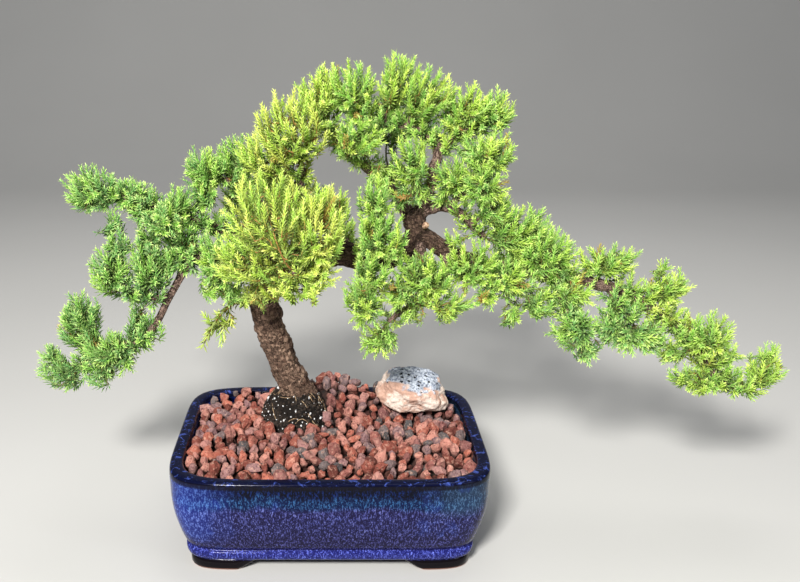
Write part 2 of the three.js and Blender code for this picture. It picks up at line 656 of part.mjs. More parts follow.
function needleTip(name, stem, corners, along) {
  // Tip of a needle that leans forward from its facet, shortened where another piece is near.
  const root = corners[0].clone().add(corners[1]).add(corners[2]).divideScalar(3);
  const forward = stem.getTangentAt(along);
  const outward = root.clone().sub(stem.getPointAt(along));
  outward.addScaledVector(forward, -outward.dot(forward)).normalize();
  for (const part of [1, 0.75, 0.5]) {
    const length = NEEDLE_LENGTH * part;
    const tip = root.clone()
      .addScaledVector(forward, length * Math.cos(NEEDLE_LEAN))
      .addScaledVector(outward, length * Math.sin(NEEDLE_LEAN));
    if (isClear(new THREE.Line3(root, tip), NEEDLE_CLEARANCE, (other) => other.stem === stem)) {
      claim(name, stem, root, tip, NEEDLE_ROOT);
      return tip;
    }
  }
  return null;
}

function lengthenTip(positions, stem) {
  // Draws the middle of the stem's end out into its last needle.
  const end = stem.getPointAt(1);
  const forward = stem.getTangentAt(1);
  for (let i = 0; i < positions.length; i += 3) {
    const place = new THREE.Vector3().fromArray(positions, i);
    if (place.distanceTo(end) < CORE_TIP_RADIUS / 10) {
      place.addScaledVector(forward, NEEDLE_LENGTH * 0.7).toArray(positions, i);
    }
  }
}

function sprays() {
  claimWood();
  const names = Object.keys(SPRAYS);
  const grown = names.map((name, order) => growSpray(name, order));
  return names.map((name, order) => {
    const shoots = grown[order].map((stem) => needledStem(name, stem));
    return meshOf(name, wasm.Manifold.union(shoots), 'needles');
  });
}

// Assembly

const bonsai = new THREE.Group();
bonsai.add(
  meshOf('pot', pot(), 'glaze'),
  meshOf('soil', soil(), 'soil'),
  meshOf('lava_gravel', gravel(), 'lava'),
  meshOf('accent_stone', stone(0), 'stone'),
  meshOf('trunk_and_limbs', wood(), 'bark'),
  ...sprays(),
);
const middle = new THREE.Box3().setFromObject(bonsai).getCenter(new THREE.Vector3());
bonsai.position.set(-middle.x, -middle.y, 0);

export default bonsai;
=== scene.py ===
# %% [markdown]
# # A garden juniper bonsai in a blue glazed pot
# The solid model gives every piece its size and its place. This lesson dresses it: glaze on the pot,
# loose lava grains, a rough stone, bark on trunk and limbs, and some fifty sprays of juniper needles.
# The model comes first, because everything else is measured from it.

# %% Load the solid model
import json
import math
import random

import bmesh
import bpy
from mathutils import Matrix, Vector, kdtree, noise

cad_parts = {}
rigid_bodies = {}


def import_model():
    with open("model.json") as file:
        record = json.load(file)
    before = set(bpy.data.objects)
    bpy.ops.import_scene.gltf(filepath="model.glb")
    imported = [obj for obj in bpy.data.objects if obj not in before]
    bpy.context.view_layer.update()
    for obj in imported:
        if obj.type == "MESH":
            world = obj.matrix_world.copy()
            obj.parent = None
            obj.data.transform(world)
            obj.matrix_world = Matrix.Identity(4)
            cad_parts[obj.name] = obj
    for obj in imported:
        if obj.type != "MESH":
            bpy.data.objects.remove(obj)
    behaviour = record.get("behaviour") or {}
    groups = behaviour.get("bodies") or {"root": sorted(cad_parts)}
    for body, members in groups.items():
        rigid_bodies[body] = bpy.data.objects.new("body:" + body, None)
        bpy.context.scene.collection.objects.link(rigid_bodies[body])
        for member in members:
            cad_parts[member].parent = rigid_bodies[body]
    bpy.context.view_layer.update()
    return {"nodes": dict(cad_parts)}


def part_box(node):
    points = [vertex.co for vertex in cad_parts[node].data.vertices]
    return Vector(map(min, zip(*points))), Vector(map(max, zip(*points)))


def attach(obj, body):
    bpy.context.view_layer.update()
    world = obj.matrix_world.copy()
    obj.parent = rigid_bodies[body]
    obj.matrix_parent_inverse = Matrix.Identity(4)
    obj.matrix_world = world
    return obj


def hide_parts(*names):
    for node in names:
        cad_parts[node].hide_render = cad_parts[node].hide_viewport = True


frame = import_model()
MM = 0.001
print("solids:", len(frame["nodes"]))

# %% [markdown]
# The tree was drawn in millimetres from the middle of the pot. The model's own origin is the middle of the
# whole tree instead, so one small helper moves a point of the drawing to its place in the model.

# %% Places in the drawing
pot_low, pot_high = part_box("pot")
POT_MIDDLE = (pot_low + pot_high) / 2


def at(x, y, z):
    """A point of the drawing, in millimetres from the pot's middle and the floor, as metres in the model."""
    return Vector((POT_MIDDLE.x + x * MM, POT_MIDDLE.y + y * MM, z * MM))


print("pot middle:", [round(v, 4) for v in POT_MIDDLE])

# %% [markdown]
# The camera stands about half a metre in front of the pot and looks down by 17 degrees, so that the gravel
# shows inside the rim. A sideways shift of the lens keeps the pot left of the middle without turning it.

# %% Camera
CAMERA_PLACE = at(0, -549.8, 334.7)
CAMERA_TILT = math.radians(90 - 17.21)
camera = bpy.data.objects.new("camera", bpy.data.cameras.new("camera"))
bpy.context.scene.collection.objects.link(camera)
camera.location = CAMERA_PLACE
camera.rotation_euler = (CAMERA_TILT, 0, 0)
camera.data.sensor_width = 36
camera.data.lens = 40.5
camera.data.shift_x = 0.0876
camera.data.clip_start = 0.01
bpy.context.scene.camera = camera
bpy.context.scene.view_settings.view_transform = "Standard"
print("camera at", [round(v, 3) for v in CAMERA_PLACE])

# %% [markdown]
# A few helpers keep the later cells short. Colours are given as red, green and blue from 0 to 255, as they
# look on a screen, and turned into the linear numbers that a shader reads. One function adds a node and
# fills or links its sockets, for materials and Geometry Nodes alike. What a node gives comes back as a
# Signal. Plus, minus and times on a Signal add the nodes for it, so a recipe reads like arithmetic.

# %% Helpers for colours and nodes
def tone(red, green, blue):
    """A screen colour as the linear colour of a shader."""
    def linear(value):
        share = value / 255
        return share / 12.92 if share <= 0.04045 else ((share + 0.055) / 1.055) ** 2.4
    return (linear(red), linear(green), linear(blue), 1)


class Signal:
    """What comes out of a node. Arithmetic on it adds further nodes."""

    def __init__(self, socket):
        self.socket = socket
        self.tree = socket.id_data

    def __add__(self, other):
        return calc("ADD", self, other)

    def __sub__(self, other):
        return calc("SUBTRACT", self, other)

    def __mul__(self, other):
        return calc("MULTIPLY", self, other)


def fill(node, **sockets):
    """Sets or links a node's inputs. Names use _ for a space, and i0, i1 and so on number them."""
    for key, value in sockets.items():
        numbered = key[0] == "i" and key[1:].isdigit()
        socket = node.inputs[int(key[1:])] if numbered else node.inputs[key.replace("_", " ")]
        if isinstance(value, Signal):
            value.tree.links.new(value.socket, socket)
        else:
            socket.default_value = value


def add(tree, kind, settings=None, output=0, **sockets):
    """Adds a node, sets it and fills its inputs, and gives one of its outputs."""
    node = tree.nodes.new(kind)
    for key, value in (settings or {}).items():
        setattr(node, key, value)
    fill(node, **sockets)
    return Signal(node.outputs[output])


def calc(operation, a, b, clamp=False):
    """One step of arithmetic."""
    return add(a.tree, "ShaderNodeMath", {"operation": operation, "use_clamp": clamp}, i0=a, i1=b)


def parts_of(vector):
    """The three numbers of a vector."""
    node = add(vector.tree, "ShaderNodeSeparateXYZ", Vector=vector).socket.node
    return [Signal(socket) for socket in node.outputs]


def spread(value, low, high):
    """A soft step from 0 at the first value to 1 at the second."""
    return add(value.tree, "ShaderNodeMapRange", {"interpolation_type": "SMOOTHSTEP"}, Value=value,
               From_Min=low, From_Max=high)


def blend(share, first, second):
    """Mixes two colours."""
    tree = next(value.tree for value in (share, first, second) if isinstance(value, Signal))
    return add(tree, "ShaderNodeMix", {"data_type": "RGBA"}, 2, i0=share, i6=first, i7=second)


def ramp(share, stops):
    """Picks from a row of screen colours."""
    picked = add(share.tree, "ShaderNodeValToRGB", Fac=share)
    elements = picked.socket.node.color_ramp.elements
    while len(elements) < len(stops):
        elements.new(0.5)
    for element, (position, colour) in zip(elements, stops):
        element.position = position
        element.color = tone(*colour)
    return picked


print("node helpers ready")

# %% [markdown]
# Most finishes here are built from a few patterns: a cloudy noise, the same noise drawn out along one axis,
# and numbers that a mesh stores at its points. Pictures wrapped round the pieces would have to be unfolded
# and could show seams. Patterns in space fit any shape.

# %% Patterns and finishes
def speckle(vector, scale, detail=3.0, roughness=0.55, distortion=0.0):
    """A cloudy noise from 0 to 1."""
    return add(vector.tree, "ShaderNodeTexNoise", Vector=vector, Scale=scale, Detail=detail,
               Roughness=roughness, Distortion=distortion)


def stretch(vector, x, y, z):
    """The same pattern, drawn out along an axis."""
    return add(vector.tree, "ShaderNodeMapping", Vector=vector, Scale=(x, y, z))


def stored(near, name, output="Fac"):
    """What a mesh stores at its points under a name."""
    return add(near.tree, "ShaderNodeAttribute", {"attribute_name": name}, output)


def bump(shader, height, strength, distance):
    """Small relief from a pattern."""
    fill(shader, Normal=add(height.tree, "ShaderNodeBump", Height=height, Strength=strength,
                            Distance=distance))


def new_material(name):
    """A material with its shader and the place on the piece."""
    material = bpy.data.materials.new(name)
    material.use_nodes = True
    tree = material.node_tree
    return material, tree.nodes["Principled BSDF"], add(tree, "ShaderNodeTexCoord", None, "Object")


def plain_speckled(name, dark, light, scale, roughness):
    """A finish of two close tones in a fine pattern."""
    material, shader, place = new_material(name)
    mottle = speckle(place, scale, 3, 0.6)
    fill(shader, Base_Color=blend(spread(mottle, 0.38, 0.62), dark, light), Roughness=roughness)
    bump(shader, mottle, 0.4, 0.0004)
    return material


print("finish helpers ready")

# %% [markdown]
# Each piece is one mesh object that stands at the origin, and its points carry the place. So all pieces
# share the frame of the solid model, and none has a turn or a scale of its own.

# %% Pieces
def new_piece(name, mesh, *materials, smooth=True):
    """An object at the origin, with its place in its mesh."""
    piece = bpy.data.objects.new(name, mesh)
    bpy.context.scene.collection.objects.link(piece)
    for material in materials:
        mesh.materials.append(material)
    if smooth:
        mesh.shade_smooth()
    return piece


def mesh_of(name, points, faces, edges=()):
    mesh = bpy.data.meshes.new(name)
    mesh.from_pydata(points, edges, faces)
    mesh.update()
    return mesh


print("piece helpers ready")

# %% [markdown]
# The floor is a pale sheet that curves up behind the tree, as in a small product studio, so no edge cuts the
# picture. Light comes from a soft lamp above and in front, a weaker one on the right, one overhead and the
# room.

# %% Floor and lights
SWEEP_WIDTH = 6.0
SWEEP_START = 1.2
SWEEP_RADIUS = 1.0
SWEEP_STEPS = 12
SWEEP_PROFILE = [(-2.5, 0.0), (SWEEP_START, 0.0)]
for step in range(1, SWEEP_STEPS + 1):
    turn = math.radians(90 * step / SWEEP_STEPS)
    SWEEP_PROFILE.append((SWEEP_START + SWEEP_RADIUS * math.sin(turn), SWEEP_RADIUS * (1 - math.cos(turn))))
SWEEP_PROFILE.append((SWEEP_START + SWEEP_RADIUS, 4.0))
points = [(side * SWEEP_WIDTH / 2, y, z) for y, z in SWEEP_PROFILE for side in (-1, 1)]
faces = [(2 * i, 2 * i + 1, 2 * i + 3, 2 * i + 2) for i in range(len(SWEEP_PROFILE) - 1)]
paper, shader, place = new_material("studio_paper")
mottle = blend(speckle(place, 3.0, 2.0), tone(190, 190, 188), tone(197, 197, 195))
fill(shader, Base_Color=mottle, Roughness=0.9, Specular_IOR_Level=0.1)
floor = new_piece("studio_floor", mesh_of("studio_floor", points, faces), paper)


def soft_lamp(name, place, aim, size, power, colour):
    lamp = bpy.data.lights.new(name, "AREA")
    lamp.shape = "RECTANGLE"
    lamp.size, lamp.size_y = size
    lamp.energy = power
    lamp.color = colour
    holder = bpy.data.objects.new(name, lamp)
    bpy.context.scene.collection.objects.link(holder)
    holder.location = place
    holder.rotation_euler = (Vector(aim) - Vector(place)).to_track_quat("-Z", "Y").to_euler()


TREE_MIDDLE = (0.0, 0.0, 0.18)
soft_lamp("key", (-0.42, -1.2, 1.05), TREE_MIDDLE, (0.28, 0.24), 43, (1.0, 0.975, 0.93))
soft_lamp("fill", (1.1, -0.9, 0.8), TREE_MIDDLE, (0.5, 0.5), 3, (0.95, 0.97, 1.0))
soft_lamp("top", (0.1, 0.25, 1.3), TREE_MIDDLE, (0.9, 0.7), 7, (1.0, 0.98, 0.95))
world = bpy.data.worlds.new("room")
world.use_nodes = True
world.node_tree.nodes["Background"].inputs[0].default_value = (0.86, 0.9, 1.0, 1)
world.node_tree.nodes["Background"].inputs[1].default_value = 0.17
bpy.context.scene.world = world
print("studio ready")

# %% [markdown]
# The pot's outline is a rounded rectangle with slightly bowed sides, a superellipse. Its wall is one profile
# that runs round that outline, so a table of steps inwards and heights is enough. The corners are evenly
# fine here, where the solid model has a few broad facets, and the rim and the ledge above the base band are
# rounded as thick glaze leaves them.

# %% Pot wall
POT_HALF = ((pot_high.x - pot_low.x) / 2 / MM, (pot_high.y - pot_low.y) / 2 / MM)
POT_HEIGHT = (pot_high.z - pot_low.z) / MM
SQUARENESS = (10, 6.4)
SQUARENESS_HEIGHTS = (15, 55)
OUTLINE_STEPS = 140


def signed_power(value, power):
    return math.copysign(abs(value) ** power, value)


def outline_point(turn, inset, height):
    """A point of the pot's outline at a height. The corners are squarer at the base than at the rim."""
    rise = (height - SQUARENESS_HEIGHTS[0]) / (SQUARENESS_HEIGHTS[1] - SQUARENESS_HEIGHTS[0])
    rise = min(1.0, max(0.0, rise))
    power = 2 / (SQUARENESS[0] + (SQUARENESS[1] - SQUARENESS[0]) * rise)
    return ((POT_HALF[0] - inset) * signed_power(math.cos(turn), power),
            (POT_HALF[1] - inset) * signed_power(math.sin(turn), power))


def even_turns(count):
    """Angles that give points at equal distances along the outline."""
    raw = [2 * math.pi * i / 6000 for i in range(6001)]
    spots = [outline_point(turn, 0, 35) for turn in raw]
    lengths = [0.0]
    for (ax, ay), (bx, by) in zip(spots, spots[1:]):
        lengths.append(lengths[-1] + math.hypot(bx - ax, by - ay))
    result, i = [], 0
    for k in range(count):
        goal = lengths[-1] * k / count
        while lengths[i + 1] < goal:
            i += 1
        share = (goal - lengths[i]) / (lengths[i + 1] - lengths[i])
        result.append(raw[i] + (raw[i + 1] - raw[i]) * share)
    return result


TURNS = even_turns(OUTLINE_STEPS)


def smooth_profile(corners, cuts):
    """Rounds a profile: every corner is cut twice, which leaves a smooth curve."""
    for _ in range(cuts):
        finer = [corners[0]]
        for a, b in zip(corners, corners[1:]):
            finer.append((a[0] * 0.75 + b[0] * 0.25, a[1] * 0.75 + b[1] * 0.25))
            finer.append((a[0] * 0.25 + b[0] * 0.75, a[1] * 0.25 + b[1] * 0.75))
        finer.append(corners[-1])
        corners = finer
    return corners


def tray(name, profile):
    """A closed solid whose [inset, height] profile runs round the pot's outline, from axis to axis."""
    points = [at(0, 0, profile[0][1])]
    for inset, height in profile:
        points += [at(*outline_point(turn, inset, height), height) for turn in TURNS]
    points.append(at(0, 0, profile[-1][1]))
    n = OUTLINE_STEPS
    faces = [(0, 1 + (i + 1) % n, 1 + i) for i in range(n)]
    for ring in range(len(profile) - 1):
        low, high = 1 + ring * n, 1 + (ring + 1) * n
        faces += [(low + i, low + (i + 1) % n, high + (i + 1) % n, high + i) for i in range(n)]
    last = 1 + (len(profile) - 1) * n
    faces += [(len(points) - 1, last + i, last + (i + 1) % n) for i in range(n)]
    return mesh_of(name, points, faces)


WALL = [
    (60, 7.4), (15, 7.4), (12.8, 7.5), (10.9, 8.3), (9.7, 10), (9.2, 12.2), (9.3, 14), (10.2, 14.7),
    (10.9, 15.4), (10.0, 16.6), (8.6, 18.8), (6.7, 24), (4.8, 30), (3.1, 36), (1.7, 42), (0.8, 48.5),
    (0.25, 55), (0.0, 61), (0.1, 65.2), (0.9, POT_HEIGHT - 0.4), (2.4, POT_HEIGHT), (5.6, POT_HEIGHT),
    (7.6, 66.6), (8.3, 65), (8.5, 60), (9.8, 38), (14.5, 21), (22, 15), (60, 15),
]
wall_mesh = tray("pot_wall", smooth_profile(WALL, 2))
print("wall faces:", len(wall_mesh.polygons))

# %% [markdown]
# Four feet carry the pot. Each follows its corner and swings up into the base at both ends, so it is made as
# a section that moves along a stretch of the same outline while its underside rises smoothly.

# %% Feet
FOOT_INSETS = (11.6, 27)
FOOT_REACH = (43, 22)
FOOT_TOP = 9.0
FOOT_FADE = 17.0
FOOT_SECTION = [
    (0.0, FOOT_TOP), (0.0, 1.4), (0.03, 0.5), (0.1, 0.0), (0.9, 0.0), (0.97, 0.5), (1.0, 1.4),
    (1.0, FOOT_TOP),
]


def foot(side_x, side_y):
    """One corner foot, as points and faces. Its underside swings up at both ends."""
    turns = []
    for turn in TURNS:
        x, y = outline_point(turn, FOOT_INSETS[0], 0)
        if x * side_x > FOOT_REACH[0] and y * side_y > FOOT_REACH[1]:
            turns.append(turn)
    spots = [[Vector(outline_point(turn, inset, 0)) for inset in FOOT_INSETS] for turn in turns]
    travel = [0.0]
    for before, after in zip(spots, spots[1:]):
        travel.append(travel[-1] + (after[0] - before[0]).length)
    points, faces = [], []
    for distance, (outer, inner) in zip(travel, spots):
        ease = min(1.0, min(distance, travel[-1] - distance) / FOOT_FADE)
        rise = (1 - ease * ease * (3 - 2 * ease)) * (FOOT_TOP - 1)
        for share, height in FOOT_SECTION:
            spot = outer.lerp(inner, share)
            points.append(at(spot.x, spot.y, min(height + rise, FOOT_TOP)))
    m = len(FOOT_SECTION)
    last = m * (len(turns) - 1)
    for low in range(0, last, m):
        faces += [(low + j, low + (j + 1) % m, low + m + (j + 1) % m, low + m + j) for j in range(m)]
    faces += [tuple(range(m)), tuple(last + j for j in reversed(range(m)))]
    return points, faces


feet = [foot(sx, sy) for sx in (-1, 1) for sy in (-1, 1)]
print("feet:", len(feet))

# %% [markdown]
# A potter cuts two round drainage holes into the soft base. Here two short cylinders are taken away from the
# wall's mesh by a Boolean modifier, and the finished shape is copied as a plain mesh. The feet are joined on
# afterwards, so the cut has only the simple wall to deal with.

# %% Drainage holes and the whole pot
def joined(name, parts):
    """One mesh of several lists of points and faces, with its faces pointing outwards."""
    points, faces = [], []
    for more_points, more_faces in parts:
        shift = len(points)
        points += more_points
        faces += [tuple(v + shift for v in face) for face in more_faces]
    mesh = mesh_of(name, points, faces)
    work = bmesh.new()
    work.from_mesh(mesh)
    bmesh.ops.recalc_face_normals(work, faces=work.faces)
    work.to_mesh(mesh)
    work.free()
    return mesh


def plain_copy(source, name):
    """The finished shape of an object with modifiers, as a plain mesh. The object itself is removed."""
    graph = bpy.context.evaluated_depsgraph_get()
    mesh = bpy.data.meshes.new_from_object(source.evaluated_get(graph), depsgraph=graph)
    mesh.name = name
    bpy.data.objects.remove(source)
    return mesh


DRAIN_RADIUS = 6.5
DRAIN_OFFSET = 44
pot_blank = new_piece("pot_blank", wall_mesh)
for side in (-1, 1):
    drill = bmesh.new()
    bmesh.ops.create_cone(drill, cap_ends=True, segments=32, radius1=DRAIN_RADIUS * MM,
                          radius2=DRAIN_RADIUS * MM, depth=0.03,
                          matrix=Matrix.Translation(at(side * DRAIN_OFFSET, 0, 10)))
    drill_mesh = bpy.data.meshes.new("drill")
    drill.to_mesh(drill_mesh)
    drill.free()
    drill_piece = new_piece("drill", drill_mesh, smooth=False)
    cut = pot_blank.modifiers.new("drain", "BOOLEAN")
    cut.operation = "DIFFERENCE"
    cut.object = drill_piece
drilled = plain_copy(pot_blank, "pot_drilled")
for drill_piece in [o for o in bpy.data.objects if o.name.startswith("drill")]:
    bpy.data.objects.remove(drill_piece)
drilled_part = ([v.co.copy() for v in drilled.vertices], [tuple(f.vertices) for f in drilled.polygons])
pot_mesh = joined("glazed_pot", [drilled_part, *feet])
print("pot faces:", len(pot_mesh.polygons))

# %% [markdown]
# The glaze is the pot's whole character. It is dark navy and nearly black on the rim, breaks into paler blue
# streaks that ran down the wall in the kiln, turns violet further down, and gathers as bright cobalt on the
# base band. Streaks are noise drawn out along the height. The unglazed clay shows under the feet.

# %% Glaze
NIGHT_TO_TEAL = (0.0585, 0.0535)
TEAL_TO_VIOLET = (0.0515, 0.0465)
DUSK = (0.036, 0.022)
BAND_TOP = (0.0165, 0.0148)
FEET_PAINTED_SHADE = (0.0084, 0.0072)
RIM_FLAT = (0.0642, 0.0656)
CLAY_TOP = (0.0016, 0.0007)


def glaze_material():
    material, shader, place = new_material("blue_glaze")
    along, _, height = parts_of(place)
    drift = speckle(stretch(place, 1, 1, 0.3), 30, 4, 0.6)
    level = height + (drift - 0.5) * 0.02
    drips = speckle(stretch(place, 1, 1, 0.3), 1050, 3, 0.62)
    grains = speckle(stretch(place, 1, 1, 0.55), 1700, 2, 0.6)
    patches = speckle(stretch(place, 1, 1, 0.8), 34, 4, 0.6)
    mixed = drips * 0.55 + grains * 0.45
    fleck = spread(mixed, 0.485, 0.6)
    spark = spread(mixed, 0.56, 0.66)
    night = blend(fleck, tone(3, 5, 20), tone(16, 34, 84))
    teal = blend(fleck, tone(7, 19, 56), tone(46, 86, 132))
    violet = blend(fleck, tone(22, 20, 54), tone(66, 70, 136))
    violet = blend(spark * 0.45, violet, tone(140, 148, 204))
    cobalt = blend(fleck, tone(26, 28, 88), tone(80, 90, 186))
    cobalt = blend(spark * 0.4, cobalt, tone(140, 160, 240))
    colour = blend(spread(level, *NIGHT_TO_TEAL), night, teal)
    colour = blend(spread(level, *TEAL_TO_VIOLET), colour, violet)
    dusk = blend(fleck, tone(16, 12, 36), tone(62, 58, 118))
    colour = blend(spread(level, *DUSK) * 0.5, colour, dusk)
    left_end = POT_MIDDLE.x - POT_HALF[0] * MM
    right_end = POT_MIDDLE.x + POT_HALF[0] * MM
    ragged = along + (drift - 0.5) * 0.05
    # Painted highlight: the wall's left end, above its lowest few centimetres, turns paler blue, along with
    # the glaze's own pale patches.
    left = spread(ragged, left_end + 0.045, left_end + 0.012) * spread(level, 0.018, 0.03)
    patches_and_painted_left_highlight = calc("ADD", spread(patches, 0.57, 0.72) * 0.5, left * 0.6, clamp=True)
    right = spread(ragged, right_end - 0.05, right_end - 0.01) * spread(level, 0.04, 0.05)
    colour = blend(right * 0.7, colour, blend(fleck, tone(34, 54, 82), tone(74, 104, 132)))
    colour = blend(patches_and_painted_left_highlight, colour, blend(fleck, tone(32, 50, 140), tone(92, 124, 206)))
    colour = blend(spread(height, *BAND_TOP), colour, cobalt)
    # Painted shade: below the band, the feet and the base are painted near black, for the shade under the
    # pot.
    colour = blend(spread(height, *FEET_PAINTED_SHADE), colour, tone(14, 10, 14))
    veins = spread(speckle(place, 170, 5, 0.72, 1.4), 0.54, 0.66)
    colour = blend(spread(height, *RIM_FLAT), colour, blend(veins, tone(8, 12, 40), tone(64, 84, 164)))
    edge = spread(height, 0.0618, 0.0634) * spread(height, 0.0662, 0.0652)
    colour = blend(edge * 0.85, colour, tone(10, 8, 14))
    clay = spread(height, *CLAY_TOP)
    colour = blend(clay, colour, tone(176, 128, 112))
    gloss = add(place.tree, "ShaderNodeMix", {"data_type": "FLOAT"}, i0=clay, i2=drips * 0.1 + 0.08, i3=0.8)
    fill(shader, Base_Color=colour, Roughness=gloss, Specular_IOR_Level=0.13)
    bump(shader, mixed * 0.3 + patches, 0.25, 0.0008)
    return material


GLAZE = glaze_material()
pot = new_piece("glazed_pot", pot_mesh, GLAZE)
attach(pot, "root")
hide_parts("pot")
print("pot ready")

# %% [markdown]
# Small things that lie about by the hundred, such as grains and crumbs, all come from one Geometry Nodes
# tool. It scatters points on a surface without letting them come too close, puts a randomly turned and
# scaled copy of one of a few shapes on each, gives every copy its own random tint, and makes real faces of
# them at the end.

# %% A tool that scatters
def node_tool(name, inputs):
    """An empty Geometry Nodes tree with named inputs. Returns the tree, its inputs and its last node."""
    tree = bpy.data.node_groups.new(name, "GeometryNodeTree")
    tree.interface.new_socket("Geometry", in_out="INPUT", socket_type="NodeSocketGeometry")
    for label, kind, value in inputs:
        socket = tree.interface.new_socket(label, in_out="INPUT", socket_type="NodeSocket" + kind)
        if value is not None:
            socket.default_value = value
    tree.interface.new_socket("Geometry", in_out="OUTPUT", socket_type="NodeSocketGeometry")
    entry = tree.nodes.new("NodeGroupInput")
    given = {socket.name: Signal(socket) for socket in entry.outputs if socket.name}
    return tree, given, tree.nodes.new("NodeGroupOutput")


def run_tool(tool, source, name, values):
    """Runs a tool on an object and returns the result as a plain mesh. The object is removed."""
    modifier = source.modifiers.new("tool", "NODES")
    modifier.node_group = tool
    for item in tool.interface.items_tree:
        if item.in_out == "INPUT" and item.name in values:
            modifier[item.identifier] = values[item.name]
    return plain_copy(source, name)


def drawn(low, high, seed):
    """A random number for each point."""
    return add(seed.tree, "FunctionNodeRandomValue", {"data_type": "FLOAT"}, 1, i2=low, i3=high, Seed=seed)


def shapes_in(collection):
    return add(collection.tree, "GeometryNodeCollectionInfo", {"transform_space": "ORIGINAL"},
               Collection=collection, Separate_Children=True, Reset_Children=True)


def mark(geometry, name, value, domain):
    """Stores a number under a name."""
    return add(geometry.tree, "GeometryNodeStoreNamedAttribute", {"data_type": "FLOAT", "domain": domain},
               Geometry=geometry, Name=name, Value=value)


def scatter_tool():
    tree, given, leave = node_tool("scatter", [
        ("Shapes", "Collection", None), ("Spacing", "Float", 0.006), ("Smallest", "Float", 0.8),
        ("Largest", "Float", 1.2), ("Lift", "Float", 0.0), ("Lift Spread", "Float", 0.0), ("Seed", "Int", 1),
        ("Material", "Material", None)])
    seed = given["Seed"]
    points = add(tree, "GeometryNodeDistributePointsOnFaces", {"distribute_method": "POISSON"}, "Points",
                 Mesh=given["Geometry"], Distance_Min=given["Spacing"], Density_Max=400000.0, Seed=seed)
    rise = given["Lift"] + drawn(-1.0, 1.0, seed) * given["Lift Spread"]
    offset = add(tree, "ShaderNodeCombineXYZ", Z=rise)
    moved = add(tree, "GeometryNodeSetPosition", Geometry=points, Offset=offset)
    turn = add(tree, "FunctionNodeRandomValue", {"data_type": "FLOAT_VECTOR"}, i0=(0.0, 0.0, 0.0),
               i1=(6.283, 6.283, 6.283), Seed=seed + 1.0)
    copies = add(tree, "GeometryNodeInstanceOnPoints", Points=moved, Instance=shapes_in(given["Shapes"]),
                 Pick_Instance=True, Rotation=turn,
                 Scale=drawn(given["Smallest"], given["Largest"], seed + 2.0))
    marked = mark(copies, "tint", drawn(0.0, 1.0, seed + 3.0), "INSTANCE")
    real = add(tree, "GeometryNodeRealizeInstances", Geometry=marked)
    fill(leave, Geometry=add(tree, "GeometryNodeSetMaterial", Geometry=real, Material=given["Material"]))
    return tree


SCATTER = scatter_tool()
print("scatter tool nodes:", len(SCATTER.nodes))

# %% [markdown]
# The scattered things are a small set of grains. Each is a ball that noise makes lumpy and a few flat cuts
# make angular, as broken stone is. A dozen shapes are enough, because each copy is turned and sized at
# random, so no two look alike.

# %% Loose shapes
def rough_ball(name, radius, roughness, seed, level=2):
    """A lumpy, slightly angular grain with a few dozen faces."""
    work = bmesh.new()
    bmesh.ops.create_icosphere(work, subdivisions=level, radius=1)
    draw = random.Random(seed)
    cuts = [Vector((draw.gauss(0, 1), draw.gauss(0, 1), draw.gauss(0, 1))).normalized() for _ in range(7)]
    sizes = Vector((draw.uniform(1.0, 1.4), draw.uniform(0.76, 1.0), draw.uniform(0.66, 0.86))) * radius * MM
    shift = Vector((seed * 3.7, seed * 1.3, 0))
    for vertex in work.verts:
        way = vertex.co.normalized()
        reach = 1 + roughness * noise.noise(way * 1.7 + shift)
        reach += 0.5 * roughness * noise.noise(way * 4 + shift)
        for cut in cuts:
            reach = min(reach, 0.84 / max(0.3, way.dot(cut)))
        vertex.co = Vector((way.x * sizes.x, way.y * sizes.y, way.z * sizes.z)) * reach
    mesh = bpy.data.meshes.new(name)
    work.to_mesh(mesh)
    work.free()
    return mesh


def shape_set(name, meshes):
    """A collection of loose shapes for the scatter tool, which the scene itself doesn't show."""
    group = bpy.data.collections.new(name)
    for i, mesh in enumerate(meshes):
        group.objects.link(bpy.data.objects.new(f"{name}_{i}", mesh))
    return group


def drop_set(group):
    for member in list(group.objects):
        bpy.data.objects.remove(member)
    bpy.data.collections.remove(group)


print("shape helpers ready")

# %% [markdown]
# The top of the planting isn't level. The grains are heaped behind the trunk, run in a low ridge to the
# accent stone and lie against the rim in the back corners. A mound of dark soil stands round the foot of
# the trunk. A sum of soft swells gives the gravel's height, and a rounded cap gives the mound's. A drawn or
# sculpted ground would do too, but with formulas every grain and crumb can ask for the height below it.

# %% Ground surface
MOUND_CENTRE = (-25, 34)
MOUND_RADII = (24, 27)
MOUND_TOP = 84
GRAVEL_LEVEL = 63
GRAVEL_SWELLS = [
    (16, (-2, 52), (24, 20)), (7, (30, 58), (34, 16)), (5, (-66, 66), (36, 14)), (3.5, (84, 60), (20, 18)),
]
MOUND_FOOT = GRAVEL_LEVEL - 4
MOUND_POWERS = (2.8, 0.8)


def swell(x, y, centre, radii):
    return math.exp(-((x - centre[0]) / radii[0]) ** 2 - ((y - centre[1]) / radii[1]) ** 2)


def gravel_height(x, y):
    height = GRAVEL_LEVEL
    for rise, centre, radii in GRAVEL_SWELLS:
        height += rise * swell(x, y, centre, radii)
    return height


def mound_share(x, y):
    """0 at the middle of the mound, 1 at its rim."""
    return math.hypot((x - MOUND_CENTRE[0]) / MOUND_RADII[0], (y - MOUND_CENTRE[1]) / MOUND_RADII[1])


def mound_height(x, y):
    fall = max(0.0, 1 - mound_share(x, y) ** MOUND_POWERS[0])
    return MOUND_FOOT + (MOUND_TOP - MOUND_FOOT) * fall ** MOUND_POWERS[1]


def inside_outline(x, y, inset):
    """Whether a place lies inside the rim's outline, drawn in by an inset."""
    power = SQUARENESS[1]
    return (abs(x) / (POT_HALF[0] - inset)) ** power + (abs(y) / (POT_HALF[1] - inset)) ** power < 1


